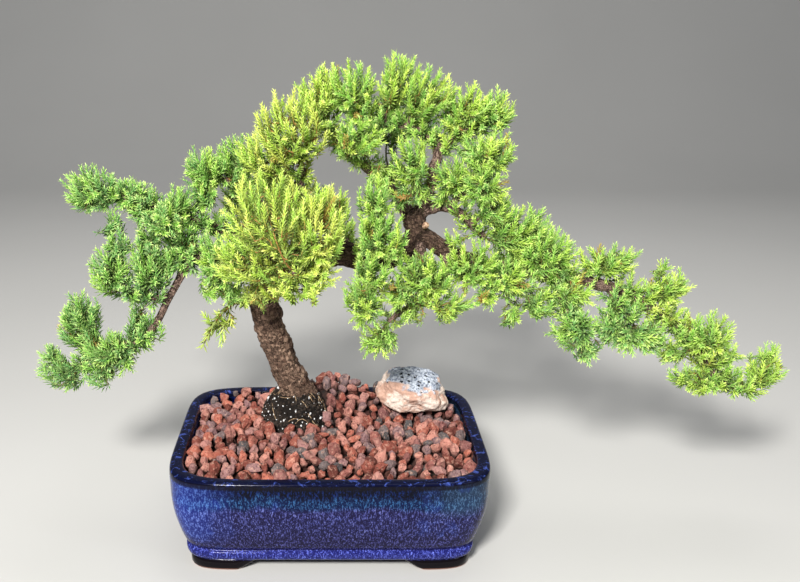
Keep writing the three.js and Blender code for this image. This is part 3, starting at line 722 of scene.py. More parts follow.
def ground_patch(name, height, keep, step, inset):
    """A grid over the pot's inside. It is only a surface for the scatter tool."""
    columns = int(2 * POT_HALF[0] / step)
    rows = int(2 * POT_HALF[1] / step)
    points, number, faces = [], {}, []
    for row in range(rows + 1):
        for column in range(columns + 1):
            x = -POT_HALF[0] + column * step
            y = -POT_HALF[1] + row * step
            if inside_outline(x, y, inset) and keep(x, y):
                number[(column, row)] = len(points)
                points.append(at(x, y, height(x, y)))
    for column, row in number:
        corners = [(column, row), (column + 1, row), (column + 1, row + 1), (column, row + 1)]
        if all(c in number for c in corners):
            faces.append(tuple(number[c] for c in corners))
    return new_piece(name, mesh_of(name, points, faces), smooth=False)


print("ground heights:", round(gravel_height(0, 0), 1), "to", round(mound_height(*MOUND_CENTRE), 1))

# %% [markdown]
# Lava rock is brick red to pink, some grains are plum grey, and all of them are full of pores. A grain's
# tint is the random number that the scatter tool left on it, so one finish serves them all. Each point also
# knows how deep it lies, and deeper points get painted shade, for the shade in the gaps between grains.

# %% Lava finish
def lava_material():
    material, shader, place = new_material("lava_rock")
    mottle = speckle(place, 420, 5, 0.66)
    colour = ramp(stored(place, "tint"), [
        (0.0, (96, 50, 44)), (0.2, (142, 78, 66)), (0.38, (184, 108, 90)), (0.54, (128, 84, 82)),
        (0.7, (198, 136, 122)), (0.86, (138, 106, 108)), (0.95, (112, 102, 102)), (1.0, (76, 78, 80))])
    colour = blend(spread(mottle, 0.5, 0.68) * 0.6, colour, tone(214, 168, 148))
    colour = blend(spread(mottle, 0.46, 0.32) * 0.75, colour, tone(84, 40, 34))
    pores = add(place.tree, "ShaderNodeTexVoronoi", {"feature": "F1"}, "Distance", Vector=place, Scale=760.0)
    holes = spread(pores, 0.26, 0.12)
    colour = blend(holes * 0.6, colour, tone(58, 26, 22))
    # Painted shade: points deep below the gravel's surface turn dark, for the shade between the grains.
    colour = blend(spread(stored(place, "depth"), -1.4, 3.2) * 0.86, colour, tone(30, 16, 14))
    fill(shader, Base_Color=colour, Roughness=0.9, Specular_IOR_Level=0.3)
    bump(shader, mottle - holes * 0.6, 0.9, 0.0016)
    return material


LAVA = lava_material()
print("lava finish nodes:", len(LAVA.node_tree.nodes))

# %% [markdown]
# A bumpy sheet could stand for the gravel, but its edge would show against the rim. So the grains are real
# loose stones, in two layers over a closed bed that lets nothing shine through and is painted dark as
# shade. The layers lie a little lower in front of the accent stone, which is half sunk in them.

# %% Lava gravel
GRAIN_RADIUS = 4.25
GRAIN_SHAPES = 12
GRAIN_LAYERS = [(3, 0.4, 7.1), (8, -5.2, 8.4)]
WALL_INSET = 8.6
BED_DEPTH = 6.5
BED_BOTTOM = 55
BED_STEP = 5
grains = shape_set("grain", [rough_ball(f"grain_{i}", GRAIN_RADIUS, 0.5, i + 1) for i in range(GRAIN_SHAPES)])


def outside_mound(x, y):
    return mound_share(x, y) > 0.96


def bed_part(step):
    """A closed bed under the grains, so that nothing shines through between them."""
    columns = int(2 * POT_HALF[0] / step)
    rows = int(2 * POT_HALF[1] / step)
    inset = WALL_INSET + 0.4
    number, points, faces = {}, [], []
    for row in range(rows + 1):
        for column in range(columns + 1):
            x = -POT_HALF[0] + 2 * POT_HALF[0] * column / columns
            y = -POT_HALF[1] + 2 * POT_HALF[1] * row / rows
            if inside_outline(x, y, inset):
                number[(column, row)] = len(points)
                points += [at(x, y, gravel_height(x, y) - BED_DEPTH), at(x, y, BED_BOTTOM)]
    cells = [(c, r) for c, r in number
             if all(spot in number for spot in ((c + 1, r), (c + 1, r + 1), (c, r + 1)))]
    loose = {}
    for c, r in cells:
        ring = [number[spot] for spot in ((c, r), (c + 1, r), (c + 1, r + 1), (c, r + 1))]
        faces += [tuple(ring), tuple(v + 1 for v in reversed(ring))]
        for a, b in zip(ring, ring[1:] + ring[:1]):
            if loose.pop((b, a), None) is None:
                loose[(a, b)] = True
    faces += [(b, a, a + 1, b + 1) for a, b in loose]
    return points, faces


def hollow_by_stone(x, y):
    """The grains lie a little lower in front of the accent stone."""
    return 4.6 * math.exp(-((x - 57) / 26) ** 2 - ((y - 24) / 9) ** 2)


def store_depth(mesh):
    """Tells each point of the grains how many millimetres it lies below the gravel's surface."""
    depths = []
    for vertex in mesh.vertices:
        x, y = (vertex.co.x - POT_MIDDLE.x) / MM, (vertex.co.y - POT_MIDDLE.y) / MM
        depths.append(gravel_height(x, y) - hollow_by_stone(x, y) - vertex.co.z / MM)
    mesh.attributes.new("depth", "FLOAT", "POINT").data.foreach_set("value", depths)


layers = []
for seed, drop, spacing in GRAIN_LAYERS:
    patch = ground_patch("gravel_patch", lambda x, y: gravel_height(x, y) + drop - hollow_by_stone(x, y),
                         outside_mound, 2.0, WALL_INSET + 0.5 * GRAIN_RADIUS)
    layers.append(run_tool(SCATTER, patch, "grain_layer", {
        "Shapes": grains, "Spacing": spacing * MM, "Smallest": 0.62, "Largest": 1.22,
        "Lift Spread": 1.1 * MM, "Seed": seed, "Material": LAVA}))
    store_depth(layers[-1])
drop_set(grains)
bed = joined("gravel_bed", [bed_part(BED_STEP)])
# The bed is painted dark brown as shade, for the gaps between the grains.
bed.materials.append(plain_speckled("deep_shade", tone(22, 14, 12), tone(52, 32, 27), 300, 0.9))


def join_meshes(name, meshes):
    """Several plain meshes as one piece."""
    pieces = [new_piece(name, mesh) for mesh in meshes]
    with bpy.context.temp_override(active_object=pieces[0], selected_editable_objects=pieces):
        bpy.ops.object.join()
    pieces[0].data.shade_smooth()
    return pieces[0]


gravel = join_meshes("lava_grains", [bed, *layers])
gravel.data.shade_flat()
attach(gravel, "root")
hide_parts("lava_gravel")
print("gravel faces:", len(gravel.data.polygons))

# %% [markdown]
# Under the lava lies dark potting soil, and it comes up as a mound round the foot of the trunk. The mound is
# a rounded cap of rings and spokes, roughened by noise and closed below.

# %% Soil finish and mound
def soil_material():
    material, shader, place = new_material("potting_soil")
    mottle = speckle(place, 500, 4, 0.7)
    darkening = speckle(place, 70, 2)
    colour = blend(spread(mottle, 0.4, 0.64), tone(17, 15, 14), tone(60, 52, 47))
    colour = blend(spread(darkening, 0.42, 0.6), colour, tone(25, 21, 19))
    colour = blend(stored(place, "tint") * 0.25, colour, tone(104, 88, 76))
    fill(shader, Base_Color=colour, Roughness=0.95, Specular_IOR_Level=0.2)
    bump(shader, mottle, 0.8, 0.001)
    return material


SOIL = soil_material()
PERLITE = plain_speckled("perlite", tone(205, 205, 208), tone(244, 244, 244), 900, 0.8)
STRAW = plain_speckled("straw", tone(112, 84, 60), tone(188, 162, 128), 700, 0.7)
MOUND_SPOKES = 96
MOUND_RINGS = 34


def mound_part():
    """The mound as points and faces, closed below."""
    points, faces = [], []
    for ring in range(MOUND_RINGS + 1):
        share = 1.06 * ring / MOUND_RINGS
        for spoke in range(MOUND_SPOKES):
            turn = 2 * math.pi * spoke / MOUND_SPOKES
            lump = 1 + 0.05 * math.sin(5 * turn)
            x = MOUND_CENTRE[0] + MOUND_RADII[0] * share * lump * math.cos(turn)
            y = MOUND_CENTRE[1] + MOUND_RADII[1] * share * lump * math.sin(turn)
            spot = Vector((x, y, 0))
            rough = 1.5 * noise.noise(spot * 0.16) + 0.8 * noise.noise(spot * 0.5) + 0.5 * noise.noise(spot)
            fade = min(1.0, 4 * share)
            points.append(at(x, y, mound_height(x, y) + rough * fade))
    bottom = len(points)
    for spoke in range(MOUND_SPOKES):
        turn = 2 * math.pi * spoke / MOUND_SPOKES
        points.append(at(MOUND_CENTRE[0] + MOUND_RADII[0] * math.cos(turn),
                         MOUND_CENTRE[1] + MOUND_RADII[1] * math.sin(turn), 50))
    n = MOUND_SPOKES
    for ring in range(MOUND_RINGS + 1):
        low, high = ring * n, (ring + 1) * n
        faces += [(low + i, high + i, high + (i + 1) % n, low + (i + 1) % n) for i in range(n)]
    faces.append(tuple(bottom + i for i in range(n)))
    return points, faces


print("mound spokes and rings:", MOUND_SPOKES, MOUND_RINGS)

# %% [markdown]
# Bits of straw lie in such soil, each a thin rod that bends a little. The rod takes any path and a radius
# at each of its points, so it also serves for twigs and for the stub of a cut branch.

# %% Rods and straw
def rod(path, radii, sides=5):
    """A closed round rod through points, thinner or thicker at each by its radius, in the drawing."""
    points, faces = [], []
    across = Vector((0.31, 0.17, 0.93))
    for i, point in enumerate(path):
        way = (path[min(i + 1, len(path) - 1)] - path[max(i - 1, 0)]).normalized()
        across = (across - way * across.dot(way)).normalized()
        other = way.cross(across)
        for side in range(sides):
            turn = 2 * math.pi * side / sides
            spot = point + (across * math.cos(turn) + other * math.sin(turn)) * radii[i]
            points.append(at(*spot))
    for i in range(len(path) - 1):
        low, high = i * sides, (i + 1) * sides
        faces += [(low + j, low + (j + 1) % sides, high + (j + 1) % sides, high + j) for j in range(sides)]
    last = (len(path) - 1) * sides
    faces += [tuple(reversed(range(sides))), tuple(last + j for j in range(sides))]
    return points, faces


def straw_parts(count, seed):
    draw = random.Random(seed)
    parts = []
    for _ in range(count):
        turn, share = draw.uniform(0, 2 * math.pi), draw.uniform(0.45, 0.95)
        x = MOUND_CENTRE[0] + MOUND_RADII[0] * share * math.cos(turn)
        y = MOUND_CENTRE[1] + MOUND_RADII[1] * share * math.sin(turn)
        heading = draw.uniform(0, 2 * math.pi)
        length = draw.uniform(4, 11)
        bend = draw.uniform(-0.35, 0.35)
        path = []
        for step in range(5):
            reach = length * (step / 4 - 0.5)
            px = x + reach * math.cos(heading + bend * reach / 8)
            py = y + reach * math.sin(heading + bend * reach / 8)
            path.append(Vector((px, py, max(mound_height(px, py), gravel_height(px, py)) + 0.9)))
        parts.append(rod(path, [0.2, 0.3, 0.32, 0.28, 0.15], 4))
    return parts


print("rod helper ready")

# %% [markdown]
# The soil fills the pot up to just below the gravel, with sides that follow the wall's inside. Crumbs and
# white perlite are scattered on the mound only, for the rest is under the lava. All of it is joined into
# one piece, since soil is one thing to whoever uses the part.

# %% Soil as one piece
fill_mesh = tray("soil_fill", [(60, 15.4), (22.3, 15.4), (14.9, 21.4), (10.2, 38.3), (9.2, 56), (60, 56)])
mound_mesh = joined("soil_mound", [mound_part()])


def on_mound(seed, spacing, shapes, smallest, largest, finish):
    """Small bits that lie on the mound, with their spacing in millimetres."""
    patch = ground_patch("mound_patch", mound_height, lambda x, y: mound_share(x, y) < 1.02, 1.5, 9)
    return run_tool(SCATTER, patch, "mound_grains", {
        "Shapes": shapes, "Spacing": spacing * MM, "Smallest": smallest, "Largest": largest,
        "Lift": 0.3 * MM, "Lift Spread": 0.4 * MM, "Seed": seed, "Material": finish})


crumbs = shape_set("crumb", [rough_ball(f"crumb_{i}", 1.3, 0.6, i + 21, 1) for i in range(5)])
flecks = shape_set("fleck", [rough_ball(f"fleck_{i}", 0.95, 0.8, i + 31, 1) for i in range(6)])
MOUND_BITS = [
    (41, 2.3, crumbs, 0.5, 1.3, SOIL),
    (52, 3.5, flecks, 0.15, 0.75, PERLITE),
    (57, 9.5, flecks, 0.6, 1.6, PERLITE),
]
straws = joined("straws", straw_parts(26, 5))
straws.materials.append(STRAW)
for mesh in (fill_mesh, mound_mesh):
    mesh.materials.append(SOIL)
bits = [on_mound(*bit) for bit in MOUND_BITS]
soil = join_meshes("potting_soil", [fill_mesh, mound_mesh, *bits, straws])
drop_set(crumbs)
drop_set(flecks)
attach(soil, "root")
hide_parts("soil")
print("soil faces:", len(soil.data.polygons))

# %% [markdown]
# The accent stone is a cream boulder with a grey-blue crystalline cap full of small hollows. It keeps the
# model's lumpy ball. Fine noise roughens it, and on the cap a cell pattern pushes in the hollows, so they
# are real shape and not only colour. Their deepest parts are darkened as painted shade.

# %% Accent stone
STONE_CENTRE = Vector((58.3, 38.5, 77.5))
STONE_RADII = Vector((26, 17, 17.2))
STONE_SUBDIVISIONS = 6


def cap_share(way):
    """1 on the crystalline cap, on top and towards the front, and 0 elsewhere, with a ragged edge."""
    reach = way.dot(Vector((0.04, -0.3, 0.95))) + 0.2 * noise.noise(way * 3) + 0.16 * noise.noise(way * 8)
    return min(1.0, max(0.0, (reach - 0.66) / 0.08))


def stone_mesh():
    work = bmesh.new()
    bmesh.ops.create_icosphere(work, subdivisions=STONE_SUBDIVISIONS, radius=1)
    caps = []
    for vertex in work.verts:
        p = vertex.co.normalized()
        ripple = 0.07 * math.sin(3.1 * p.x + 1) * math.cos(2.7 * p.y)
        lump = 1 + ripple + 0.06 * math.sin(5 * p.z + 4 * p.x)
        flat = -0.55 / p.z if p.z < -0.55 else 1
        spot = STONE_CENTRE + Vector((p.x * STONE_RADII.x * lump, p.y * STONE_RADII.y * lump,
                                      p.z * flat * STONE_RADII.z * lump - 3 * p.x))
        cap = cap_share(p)
        rough = 1.5 * noise.noise(p * 2.6) + 0.9 * noise.noise(p * 6) + 0.6 * noise.noise(p * 14)
        rough += 0.3 * noise.noise(p * 30)
        hollow = noise.voronoi(p * 6.5)[0][0]
        pit = max(0.0, 0.34 - hollow) / 0.34
        crystal = noise.voronoi(p * 15)[0][0]
        rough += cap * (0.8 - 2.2 * pit + 1.2 * (0.4 - crystal))
        vertex.co = at(*(spot + p * rough))
        caps.append((cap, cap * pit))
    mesh = bpy.data.meshes.new("accent_stone")
    work.to_mesh(mesh)
    work.free()
    for name, values in (("cap", [c[0] for c in caps]), ("pit", [c[1] for c in caps])):
        mesh.attributes.new(name, "FLOAT", "POINT").data.foreach_set("value", values)
    return mesh


def stone_material():
    material, shader, place = new_material("accent_stone")
    broad = speckle(place, 90, 4, 0.6)
    fine = speckle(place, 600, 4, 0.7)
    body = blend(spread(broad, 0.44, 0.56), tone(198, 160, 142), tone(226, 210, 198))
    body = blend(spread(fine, 0.5, 0.66) * 0.7, body, tone(166, 132, 116))
    crust = blend(spread(fine, 0.36, 0.62), tone(104, 114, 134), tone(206, 214, 226))
    crust = blend(spread(broad, 0.52, 0.64) * 0.6, crust, tone(78, 86, 100))
    colour = blend(stored(place, "cap"), body, crust)
    # Painted shade: the deepest parts of the cap's hollows are darkened.
    colour = blend(spread(stored(place, "pit"), 0.08, 0.32), colour, tone(24, 26, 32))
    fill(shader, Base_Color=colour, Roughness=0.8)
    bump(shader, fine, 0.6, 0.0008)
    return material


stone = new_piece("accent_stone_fine", stone_mesh(), stone_material())
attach(stone, "root")
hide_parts("accent_stone")
print("stone faces:", len(stone.data.polygons))

# %% [markdown]
# The trunk leans left out of the soil, turns over to the right, and sends out nearly two dozen limbs. Each
# is drawn one by one: the radii at its root and tip, and the points that its middle line passes. A branching
# rule would be shorter, but a trained tree has the shape that its grower chose.

# %% Limbs
LIMBS = {
    "trunk": ((10.8, 7), [(-18, 35, 59), (-20, 34, 67), (-24, 32, 84), (-28, 31, 95), (-33, 28, 107),
        (-37, 25, 120), (-41, 19, 138), (-44, 14, 154), (-42, 9, 168), (-31, 5, 180), (-15, 3, 185),
        (4, 4, 188), (23, 6, 185), (39, 8, 185), (51, 10, 192), (55, 10, 202), (53, 10, 213)]),
    "left_limb": ((3.6, 1.4), [(-42, 10, 162), (-57, 4, 179), (-73, -2, 189), (-86, -4, 187),
        (-95, -4, 174), (-104, -5, 158), (-114, -6, 141), (-127, -6, 129), (-145, -6, 122),
        (-162, -6, 117)]),
    "left_twig": ((2, 1.3), [(-101, -5, 163), (-112, -8, 162), (-123, -10, 166), (-133, -10, 173)]),
    "left_high": ((4.4, 1.5), [(-42, 11, 165), (-52, 16, 186), (-66, 16, 199), (-78, 12, 205),
        (-91, 8, 210), (-103, 4, 216), (-117, 2, 221), (-133, 0, 226)]),
    "crown_left": ((5.2, 2.4), [(-41, 10, 166), (-37, 22, 186), (-27, 22, 209), (-20, 14, 228),
        (-17, 6, 242)]),
    "shoulder": ((2.9, 1.6), [(-30, 22, 203), (-44, 26, 217), (-59, 24, 228), (-71, 20, 235)]),
    "front_fan": ((4.2, 2.2), [(-22, 4, 183), (-16, -14, 181), (-15, -26, 183), (-18, -36, 186),
        (-22, -45, 191)]),
    "weeping": ((2.2, 1.4), [(-44, 12, 155), (-53, -2, 159), (-59, -8, 159)]),
    "arc_limb": ((4.2, 2), [(53, 10, 208), (62, 8, 216), (72, 6, 218), (82, 4, 214), (89, 2, 207),
        (98, 0, 199)]),
    "right_limb": ((5.8, 1.3), [(54, 10, 200), (64, 8, 196), (75, 6, 189), (89, 4, 183), (108, 2, 179),
        (128, 0, 178), (149, -2, 176), (169, -4, 170), (187, -6, 166), (204, -6, 156), (221, -6, 143),
        (238, -6, 126), (250, -6, 110), (265, -6, 101), (279, -6, 101)]),
    "top_left_limb": ((3.7, 1.6), [(53, 10, 209), (46, 14, 220), (36, 16, 230), (25, 16, 239),
        (14, 14, 249), (4, 12, 259), (-2, 12, 269)]),
    "crown_riser": ((4, 1.8), [(54, 10, 210), (62, 4, 228), (64, 2, 242), (66, 2, 255), (60, 6, 263),
        (48, 10, 267), (33, 12, 269), (19, 12, 275)]),
    "crown_right": ((2.6, 1.6), [(65, 2, 253), (75, 6, 260), (86, 10, 266), (98, 12, 269)]),
    "right_column": ((2.5, 1.5), [(75, 6, 217), (83, 0, 230), (90, -4, 240), (97, -6, 249)]),
    "centre_riser": ((3.6, 1.8), [(21, 6, 185), (24, -12, 195), (25, -24, 209), (26, -28, 222)]),
    "centre_drop": ((3.2, 1.6), [(27, 6, 184), (24, -14, 184), (23, -24, 174), (24, -26, 163)]),
    "low_twig": ((3, 1.5), [(75, 6, 189), (71, -10, 178), (58, -18, 165), (45, -20, 158),
        (36, -20, 150)]),
    "low_stub": ((3.4, 2), [(55, 10, 197), (58, 2, 190), (61, -8, 182), (64, -16, 176)]),
    "right_drop": ((2.8, 1.6), [(143, -1, 177), (145, -8, 166), (148, -14, 156), (157, -18, 147)]),
    "far_drop": ((2.4, 1.5), [(176, -5, 169), (182, -12, 158), (190, -16, 149)]),
    "back_crown": ((4.4, 2), [(52, 12, 205), (48, 34, 213), (43, 50, 224), (39, 58, 236)]),
    "back_left": ((4.4, 1.8), [(-39, 8, 172), (-46, 34, 179), (-51, 52, 189), (-54, 60, 199)]),
    "back_right": ((3.2, 2), [(108, 2, 179), (122, 24, 180), (133, 38, 184)]),
    "back_mid": ((3.8, 2.2), [(8, 5, 187), (10, 30, 190), (8, 48, 199)]),
}


print("limbs with the trunk:", len(LIMBS))

# %% [markdown]
# A smooth curve runs through the points of each limb. The points stand at uneven distances, and a plain
# curve would swing out between close ones. So the speed at each point is weighed by the root of the
# distances on both sides, which keeps the curve free of loops.

# %% Curves through the points
class Curve:
    """A smooth line through points. Places on it are given as a share of its length."""

    PARTS = 14

    def __init__(self, corners):
        corners = [Vector(c) for c in corners]
        padded = [corners[0] * 2 - corners[1], *corners, corners[-1] * 2 - corners[-2]]
        self.points = [corners[0]]
        for a, b, c, d in zip(padded, padded[1:], padded[2:], padded[3:]):
            before, within, after = (math.sqrt((q - p).length) for p, q in ((a, b), (b, c), (c, d)))
            leave = ((b - a) / before - (c - a) / (before + within) + (c - b) / within) * within
            arrive = ((c - b) / within - (d - b) / (within + after) + (d - c) / after) * within
            for step in range(1, self.PARTS + 1):
                t = step / self.PARTS
                self.points.append(b + leave * t + (c * 3 - b * 3 - leave * 2 - arrive) * t * t
                                   + (b * 2 - c * 2 + leave + arrive) * t * t * t)
        self.travel = [0.0]
        for p, q in zip(self.points, self.points[1:]):
            self.travel.append(self.travel[-1] + (q - p).length)
        self.length = self.travel[-1]

    def place(self, share):
        goal = min(max(share, 0.0), 1.0) * self.length
        low = 0
        while low < len(self.travel) - 2 and self.travel[low + 1] < goal:
            low += 1
        part = (goal - self.travel[low]) / max(1e-9, self.travel[low + 1] - self.travel[low])
        return self.points[low].lerp(self.points[low + 1], part)

    def heading(self, share):
        return (self.place(share + 0.01) - self.place(share - 0.01)).normalized()


CURVES = {name: Curve(path) for name, (radii, path) in LIMBS.items()}
print("longest limb:", round(max(curve.length for curve in CURVES.values())), "mm")

# %% [markdown]
# The list of sprays says where the foliage is: the limb and path point that carry each spray, its middle,
# its radii, and how yellow its green is.

# %% Sprays
SPRAYS = {
    "left_low_tip": ("left_limb", 9, (-178, -6, 114), (14, 10, 12), 0.1),
    "left_low_round": ("left_limb", 8, (-162, -2, 143), (15, 14, 14), 0.1),
    "left_low_body": ("left_limb", 7, (-144, -12, 130), (18, 12, 12), 0.1),
    "left_low_upright": ("left_limb", 7, (-123, 0, 145), (7, 7, 14), 0.1),
    "left_mid_outer": ("left_twig", 3, (-137, -12, 182), (14, 14, 15), 0.1),
    "left_mid_inner": ("left_twig", 1, (-112, -8, 186), (15, 14, 18), 0.1),
    "left_mid_top": ("left_limb", 3, (-94, 2, 200), (13, 14, 15), 0.1),
    "left_high_tip": ("left_high", 7, (-148, 0, 230), (19, 16, 17), 0.22),
    "left_high_mid": ("left_high", 6, (-122, 2, 226), (14, 13, 12), 0.22),
    "left_high_inner": ("left_high", 5, (-101, -13, 214), (12, 12, 12), 0.22),
    "shoulder_tip": ("shoulder", 3, (-79, 18, 240), (16, 15, 16), 0.3),
    "shoulder_mid": ("shoulder", 2, (-59, 26, 246), (16, 15, 15), 0.3),
    "skirt_left": ("left_limb", 2, (-70, -16, 188), (14, 13, 18), 0.4),
    "weeping_shoot": ("weeping", 2, (-72, -10, 143), (13, 4, 16), 0.85),
    "crown_left_fan": ("crown_left", 4, (-24, -4, 269), (24, 18, 24), 0.75),
    "crown_left_side": ("crown_left", 3, (-42, 8, 252), (18, 16, 16), 0.75),
    "front_fan_top": ("front_fan", 4, (-35, -46, 226), (28, 14, 27), 0.8),
    "front_fan_right": ("front_fan", 2, (-6, -42, 214), (18, 14, 28), 0.8),
    "front_fan_low": ("front_fan", 1, (-19, -38, 172), (26, 14, 9), 0.8),
    "front_fan_left": ("front_fan", 3, (-54, -42, 198), (18, 12, 20), 0.8),
    "crown_far_left": ("top_left_limb", 6, (-7, 10, 286), (16, 18, 16), 0.6),
    "crown_top_left": ("crown_riser", 7, (13, 6, 292), (18, 18, 17), 0.6),
    "crown_peak": ("crown_riser", 6, (39, 6, 297), (16, 16, 20), 0.6),
    "crown_top_mid": ("crown_riser", 5, (60, 4, 291), (18, 18, 18), 0.6),
    "crown_top_right": ("crown_right", 2, (84, 10, 285), (17, 16, 16), 0.6),
    "crown_far_right": ("crown_right", 3, (105, 12, 277), (14, 14, 15), 0.6),
    "crown_under": ("top_left_limb", 5, (19, -6, 263), (16, 14, 14), 0.6),
    "mid_upright": ("crown_riser", 2, (48, -10, 250), (13, 10, 18), 0.45),
    "column_top": ("right_column", 3, (101, -6, 254), (13, 14, 15), 0.5),
    "column_mid": ("right_column", 2, (93, -10, 234), (17, 14, 15), 0.5),
    "column_low": ("arc_limb", 4, (102, -2, 220), (12, 12, 14), 0.5),
    "inner_right": ("right_column", 1, (73, -4, 239), (13, 12, 15), 0.5),
    "centre_up": ("centre_riser", 3, (25, -32, 230), (14, 12, 18), 0.55),
    "centre_mid": ("centre_riser", 1, (31, -34, 209), (16, 12, 20), 0.55),
    "centre_low": ("centre_drop", 3, (22, -30, 164), (12, 10, 18), 0.55),
    "centre_tail": ("low_twig", 4, (30, -24, 139), (13, 10, 14), 0.55),
    "lower_left": ("low_stub", 3, (57, -24, 181), (20, 13, 16), 0.6),
    "lower_mid": ("right_limb", 3, (86, -16, 185), (20, 14, 18), 0.6),
    "lower_under": ("low_twig", 2, (73, -24, 165), (18, 10, 9), 0.6),
    "right_top": ("arc_limb", 5, (120, 0, 206), (20, 16, 17), 0.55),
    "right_body": ("right_limb", 5, (136, -8, 192), (20, 16, 18), 0.55),
    "right_low": ("right_limb", 4, (111, -16, 176), (18, 14, 14), 0.55),
    "right_back": ("back_right", 2, (140, 34, 194), (20, 14, 16), 0.55),
    "right_mid": ("right_limb", 7, (170, -2, 187), (20, 14, 15), 0.55),
    "drop_left": ("right_drop", 3, (152, -20, 145), (17, 12, 15), 0.3),
    "drop_right": ("far_drop", 2, (189, -18, 140), (20, 12, 12), 0.3),
    "far_upright": ("right_limb", 9, (212, -4, 170), (15, 12, 17), 0.65),
    "far_body": ("right_limb", 11, (241, -6, 137), (20, 14, 17), 0.65),
    "far_low": ("right_limb", 12, (242, -10, 107), (16, 12, 9), 0.65),
    "right_tip": ("right_limb", 14, (283, -6, 114), (14, 10, 13), 0.55),
    "back_crown": ("back_crown", 3, (37, 60, 259), (28, 14, 24), 0.45),
    "back_left": ("back_left", 3, (-52, 62, 214), (28, 14, 26), 0.45),
    "back_mid": ("back_mid", 2, (0, 54, 214), (24, 14, 22), 0.45),
}
print("sprays:", len(SPRAYS))

# %% [markdown]
# A short brown twig leads from the limb to each spray. It leaves the limb rather sideways, as side shoots
# do, and turns towards the spray's middle. A spray at the end of a limb needs no twig.

# %% Twigs
TWIG_RADIUS = 1.25
TWIG_LENGTH = 5


def twig_of(spray):
    """Where a spray's twig leaves the limb's middle line, its direction, and where it ends."""
    limb, index, centre = SPRAYS[spray][:3]
    radii, path = LIMBS[limb]
    root = Vector(path[index])
    last = len(path) - 1
    if index == last:
        return root, CURVES[limb].heading(1.0), root
    along = (Vector(path[index + 1]) - Vector(path[index - 1])).normalized()
    way = (Vector(centre) - root).normalized()
    way = (way - along * 0.8 * way.dot(along)).normalized()
    reach = radii[0] + (radii[1] - radii[0]) * index / last + TWIG_LENGTH
    return root, way, root + way * reach


print("sprays at a limb's end:", sum(twig_of(spray)[0] == twig_of(spray)[2] for spray in SPRAYS))

# %% [markdown]
# A slightly gnarled tube follows each curve, and the trunk's flares out at the roots. All tubes are melted
# into one skin by the Remesh modifier, which leaves smooth forks, as living wood has. Joining the tubes with
# cuts would leave hard seams instead.

# %% Trunk and limbs
WOOD_GRAIN = 1.0
TUBE_SIDES = 18
TUBE_STEP = 2.2


def limb_tube(order, name, samples):
    """A limb as points and faces. Adds (point, radius, angle, distance along) of each point to samples."""
    radii, _ = LIMBS[name]
    curve = CURVES[name]
    rings = max(4, round(curve.length / TUBE_STEP))
    points, faces = [], []
    across = Vector((0.2, -1, 0.1))
    for ring in range(rings + 1):
        share = ring / rings
        middle, way = curve.place(share), curve.heading(share)
        across = (across - way * across.dot(way)).normalized()
        other = way.cross(across)
        base = radii[0] + (radii[1] - radii[0]) * share
        flare = 3.2 * math.exp(-(share / 0.09) ** 2) if name == "trunk" else 0
        for side in range(TUBE_SIDES):
            turn = 2 * math.pi * side / TUBE_SIDES
            gnarl = 1 + 0.05 * math.sin(3 * turn + 40 * share) + 0.045 * math.sin(2 * turn - 23 * share)
            knots = 0.08 * noise.noise(middle * 0.09 + Vector((math.cos(turn), math.sin(turn), order)))
            radius = base * (gnarl + knots) + flare * (1 + 0.3 * math.sin(4 * turn))
            spot = middle + (across * math.cos(turn) + other * math.sin(turn)) * radius
            points.append(at(*spot))
            samples.append((points[-1], base, turn, share * curve.length + 131 * order))
    n = TUBE_SIDES
    for ring in range(rings):
        low, high = ring * n, (ring + 1) * n
        faces += [(low + i, low + (i + 1) % n, high + (i + 1) % n, high + i) for i in range(n)]
    faces += [tuple(reversed(range(n))), tuple(rings * n + i for i in range(n))]
    return points, faces


wood_samples = []
wood_parts = [limb_tube(order, name, wood_samples) for order, name in enumerate(LIMBS)]
for spray in SPRAYS:
    twig_root, _, twig_end = twig_of(spray)
    if twig_end != twig_root:
        half = twig_root.lerp(twig_end, 0.5)
        part = rod([twig_root, half, twig_end], [TWIG_RADIUS * 1.2, TWIG_RADIUS, TWIG_RADIUS * 0.8], 8)
        wood_parts.append(part)
        wood_samples += [(p, TWIG_RADIUS, i % 8 * math.pi / 4, i // 8 * 4.0) for i, p in enumerate(part[0])]
wood_blank = new_piece("wood_blank", joined("wood_tubes", wood_parts))
melt = wood_blank.modifiers.new("melt", "REMESH")
melt.mode = "VOXEL"
melt.voxel_size = WOOD_GRAIN * MM
wood_mesh = plain_copy(wood_blank, "wood_skin")
print("wood faces:", len(wood_mesh.polygons))

# %% [markdown]
# Old bark splits into ridges and plates. They are pushed into the skin itself, so that they show on its
# outline. Every point of the skin first looks up the nearest point of the tubes, to learn how far along and
# round its limb it lies. Bark patterns use that place, so cracks run along each limb and not across.

